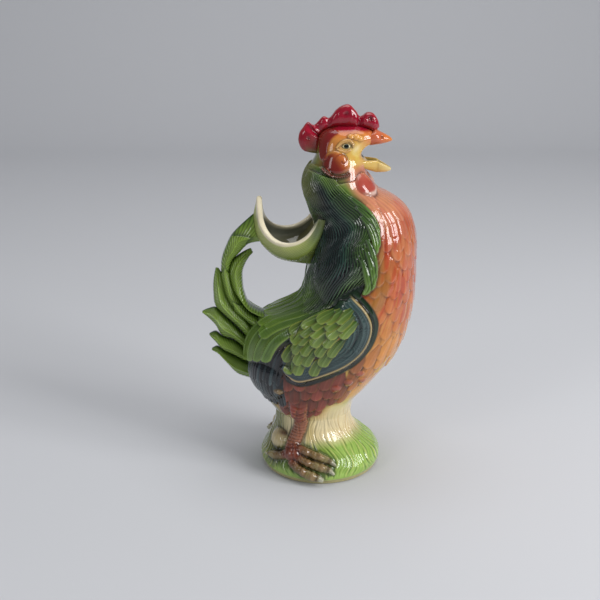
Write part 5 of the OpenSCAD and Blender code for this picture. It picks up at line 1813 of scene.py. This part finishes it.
# %% Stage
def sweep():
    """A floor that curves up into a back wall: a straight line, a quarter circle and a straight line."""
    bend = np.linspace(0, math.pi / 2, 24)
    radius = 0.6
    depth = np.concatenate([[-3.0], 1.4 + radius * np.sin(bend), [1.4 + radius]])
    rise = np.concatenate([[0.0], radius * (1 - np.cos(bend)), [2.6]])
    x = np.array([-3.0, 3.0])
    grid = np.stack([
        np.broadcast_to(x, (len(depth), 2)), np.broadcast_to(depth[:, None], (len(depth), 2)),
        np.broadcast_to(rise[:, None], (len(depth), 2)),
    ], -1)
    floor = add_mesh("sweep", grid, grid_faces(len(depth), 2, flip=True))
    material = bpy.data.materials.new("pale_paper")
    material.use_nodes = True
    shader = material.node_tree.nodes["Principled BSDF"]
    shader.inputs["Base Color"].default_value = (*glaze(204, 205, 208), 1.0)
    shader.inputs["Roughness"].default_value = 1.0
    shader.inputs["Specular IOR Level"].default_value = 0.0
    floor.data.materials.append(material)
    floor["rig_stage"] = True
    return floor


def area_light(name, place, aim, width, tall, power, panes=1):
    """A soft light made of panes, as a window is, that faces the point aim."""
    place, aim = np.array(place, float), np.array(aim, float)
    way = unit(aim - place)
    side = unit(np.cross(way, [0, 0, 1]))
    up = np.cross(side, way)
    turn = np.stack([side, up, -way], 1)
    for i in range(panes):
        for j in range(panes):
            data = bpy.data.lights.new(f"{name}_{i}{j}", "AREA")
            data.shape = "RECTANGLE"
            data.size = 0.86 * width / panes if panes > 1 else width
            data.size_y = 0.86 * tall / panes if panes > 1 else tall
            data.energy = power / panes**2
            lamp = bpy.data.objects.new(data.name, data)
            shift = ((i + 0.5) / panes - 0.5) * width * side + ((j + 0.5) / panes - 0.5) * tall * up
            matrix = np.eye(4)
            matrix[:3, :3] = turn
            matrix[:3, 3] = place + shift
            lamp.matrix_world = matrix.T.tolist()
            bpy.context.scene.collection.objects.link(lamp)


sweep()
area_light("window_right", (1.35, -0.75, 0.85), (0, 0, 0.17), 0.75, 0.95, 20, panes=2)
area_light("window_left", (-1.3, -1.2, 0.9), (0, 0, 0.17), 0.4, 0.8, 4)
area_light("ceiling", (0.1, 0.1, 1.9), (0, 0, 0.1), 1.6, 1.2, 14)

world = bpy.data.worlds.new("studio")
bpy.context.scene.world = world
world.use_nodes = True
sky = world.node_tree.nodes["Background"]
sky.inputs["Color"].default_value = (0.85, 0.87, 0.92, 1.0)
# The sky's strength, what is taken off it in reflections, and what is added where it is seen itself.
SKY, IN_REFLECTIONS, AS_BACKDROP = 0.36, -0.2, 0.26
tree, join = world.node_tree, world.node_tree.links.new
rays = add_node(tree, "LightPath")
dim = add_node(tree, "Math", {1: IN_REFLECTIONS, 2: SKY}, operation="MULTIPLY_ADD")
backdrop = add_node(tree, "Math", {1: AS_BACKDROP}, operation="MULTIPLY_ADD")
join(rays.outputs["Is Glossy Ray"], dim.inputs[0])
join(rays.outputs["Is Camera Ray"], backdrop.inputs[0])
join(dim.outputs["Value"], backdrop.inputs[2])
join(backdrop.outputs["Value"], sky.inputs["Strength"])

# %% Camera
AIM = np.array([-0.0194, 0.0, 0.161])
AWAY = 0.955
LOOK_DOWN = math.radians(20)
lens = bpy.data.cameras.new("camera")
lens.lens = 62.46
lens.sensor_width = 36.0
camera = bpy.data.objects.new("camera", lens)
camera.location = AIM + AWAY * np.array([0, -math.cos(LOOK_DOWN), math.sin(LOOK_DOWN)])
camera.rotation_euler = (math.pi / 2 - LOOK_DOWN, 0, 0)
bpy.context.scene.collection.objects.link(camera)
bpy.context.scene.camera = camera
bpy.context.scene.view_settings.view_transform = "Standard"

# %% Measure and finish
low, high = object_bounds()
print("visual box, in metres:", [round(v, 4) for v in low], [round(v, 4) for v in high])
for axis, c0, c1, v0, v1 in zip("XYZ", cad_low, cad_high, low, high):
    print(axis, "spare in mm:", round(1000 * (v0 - c0), 2), round(1000 * (c1 - v1), 2))
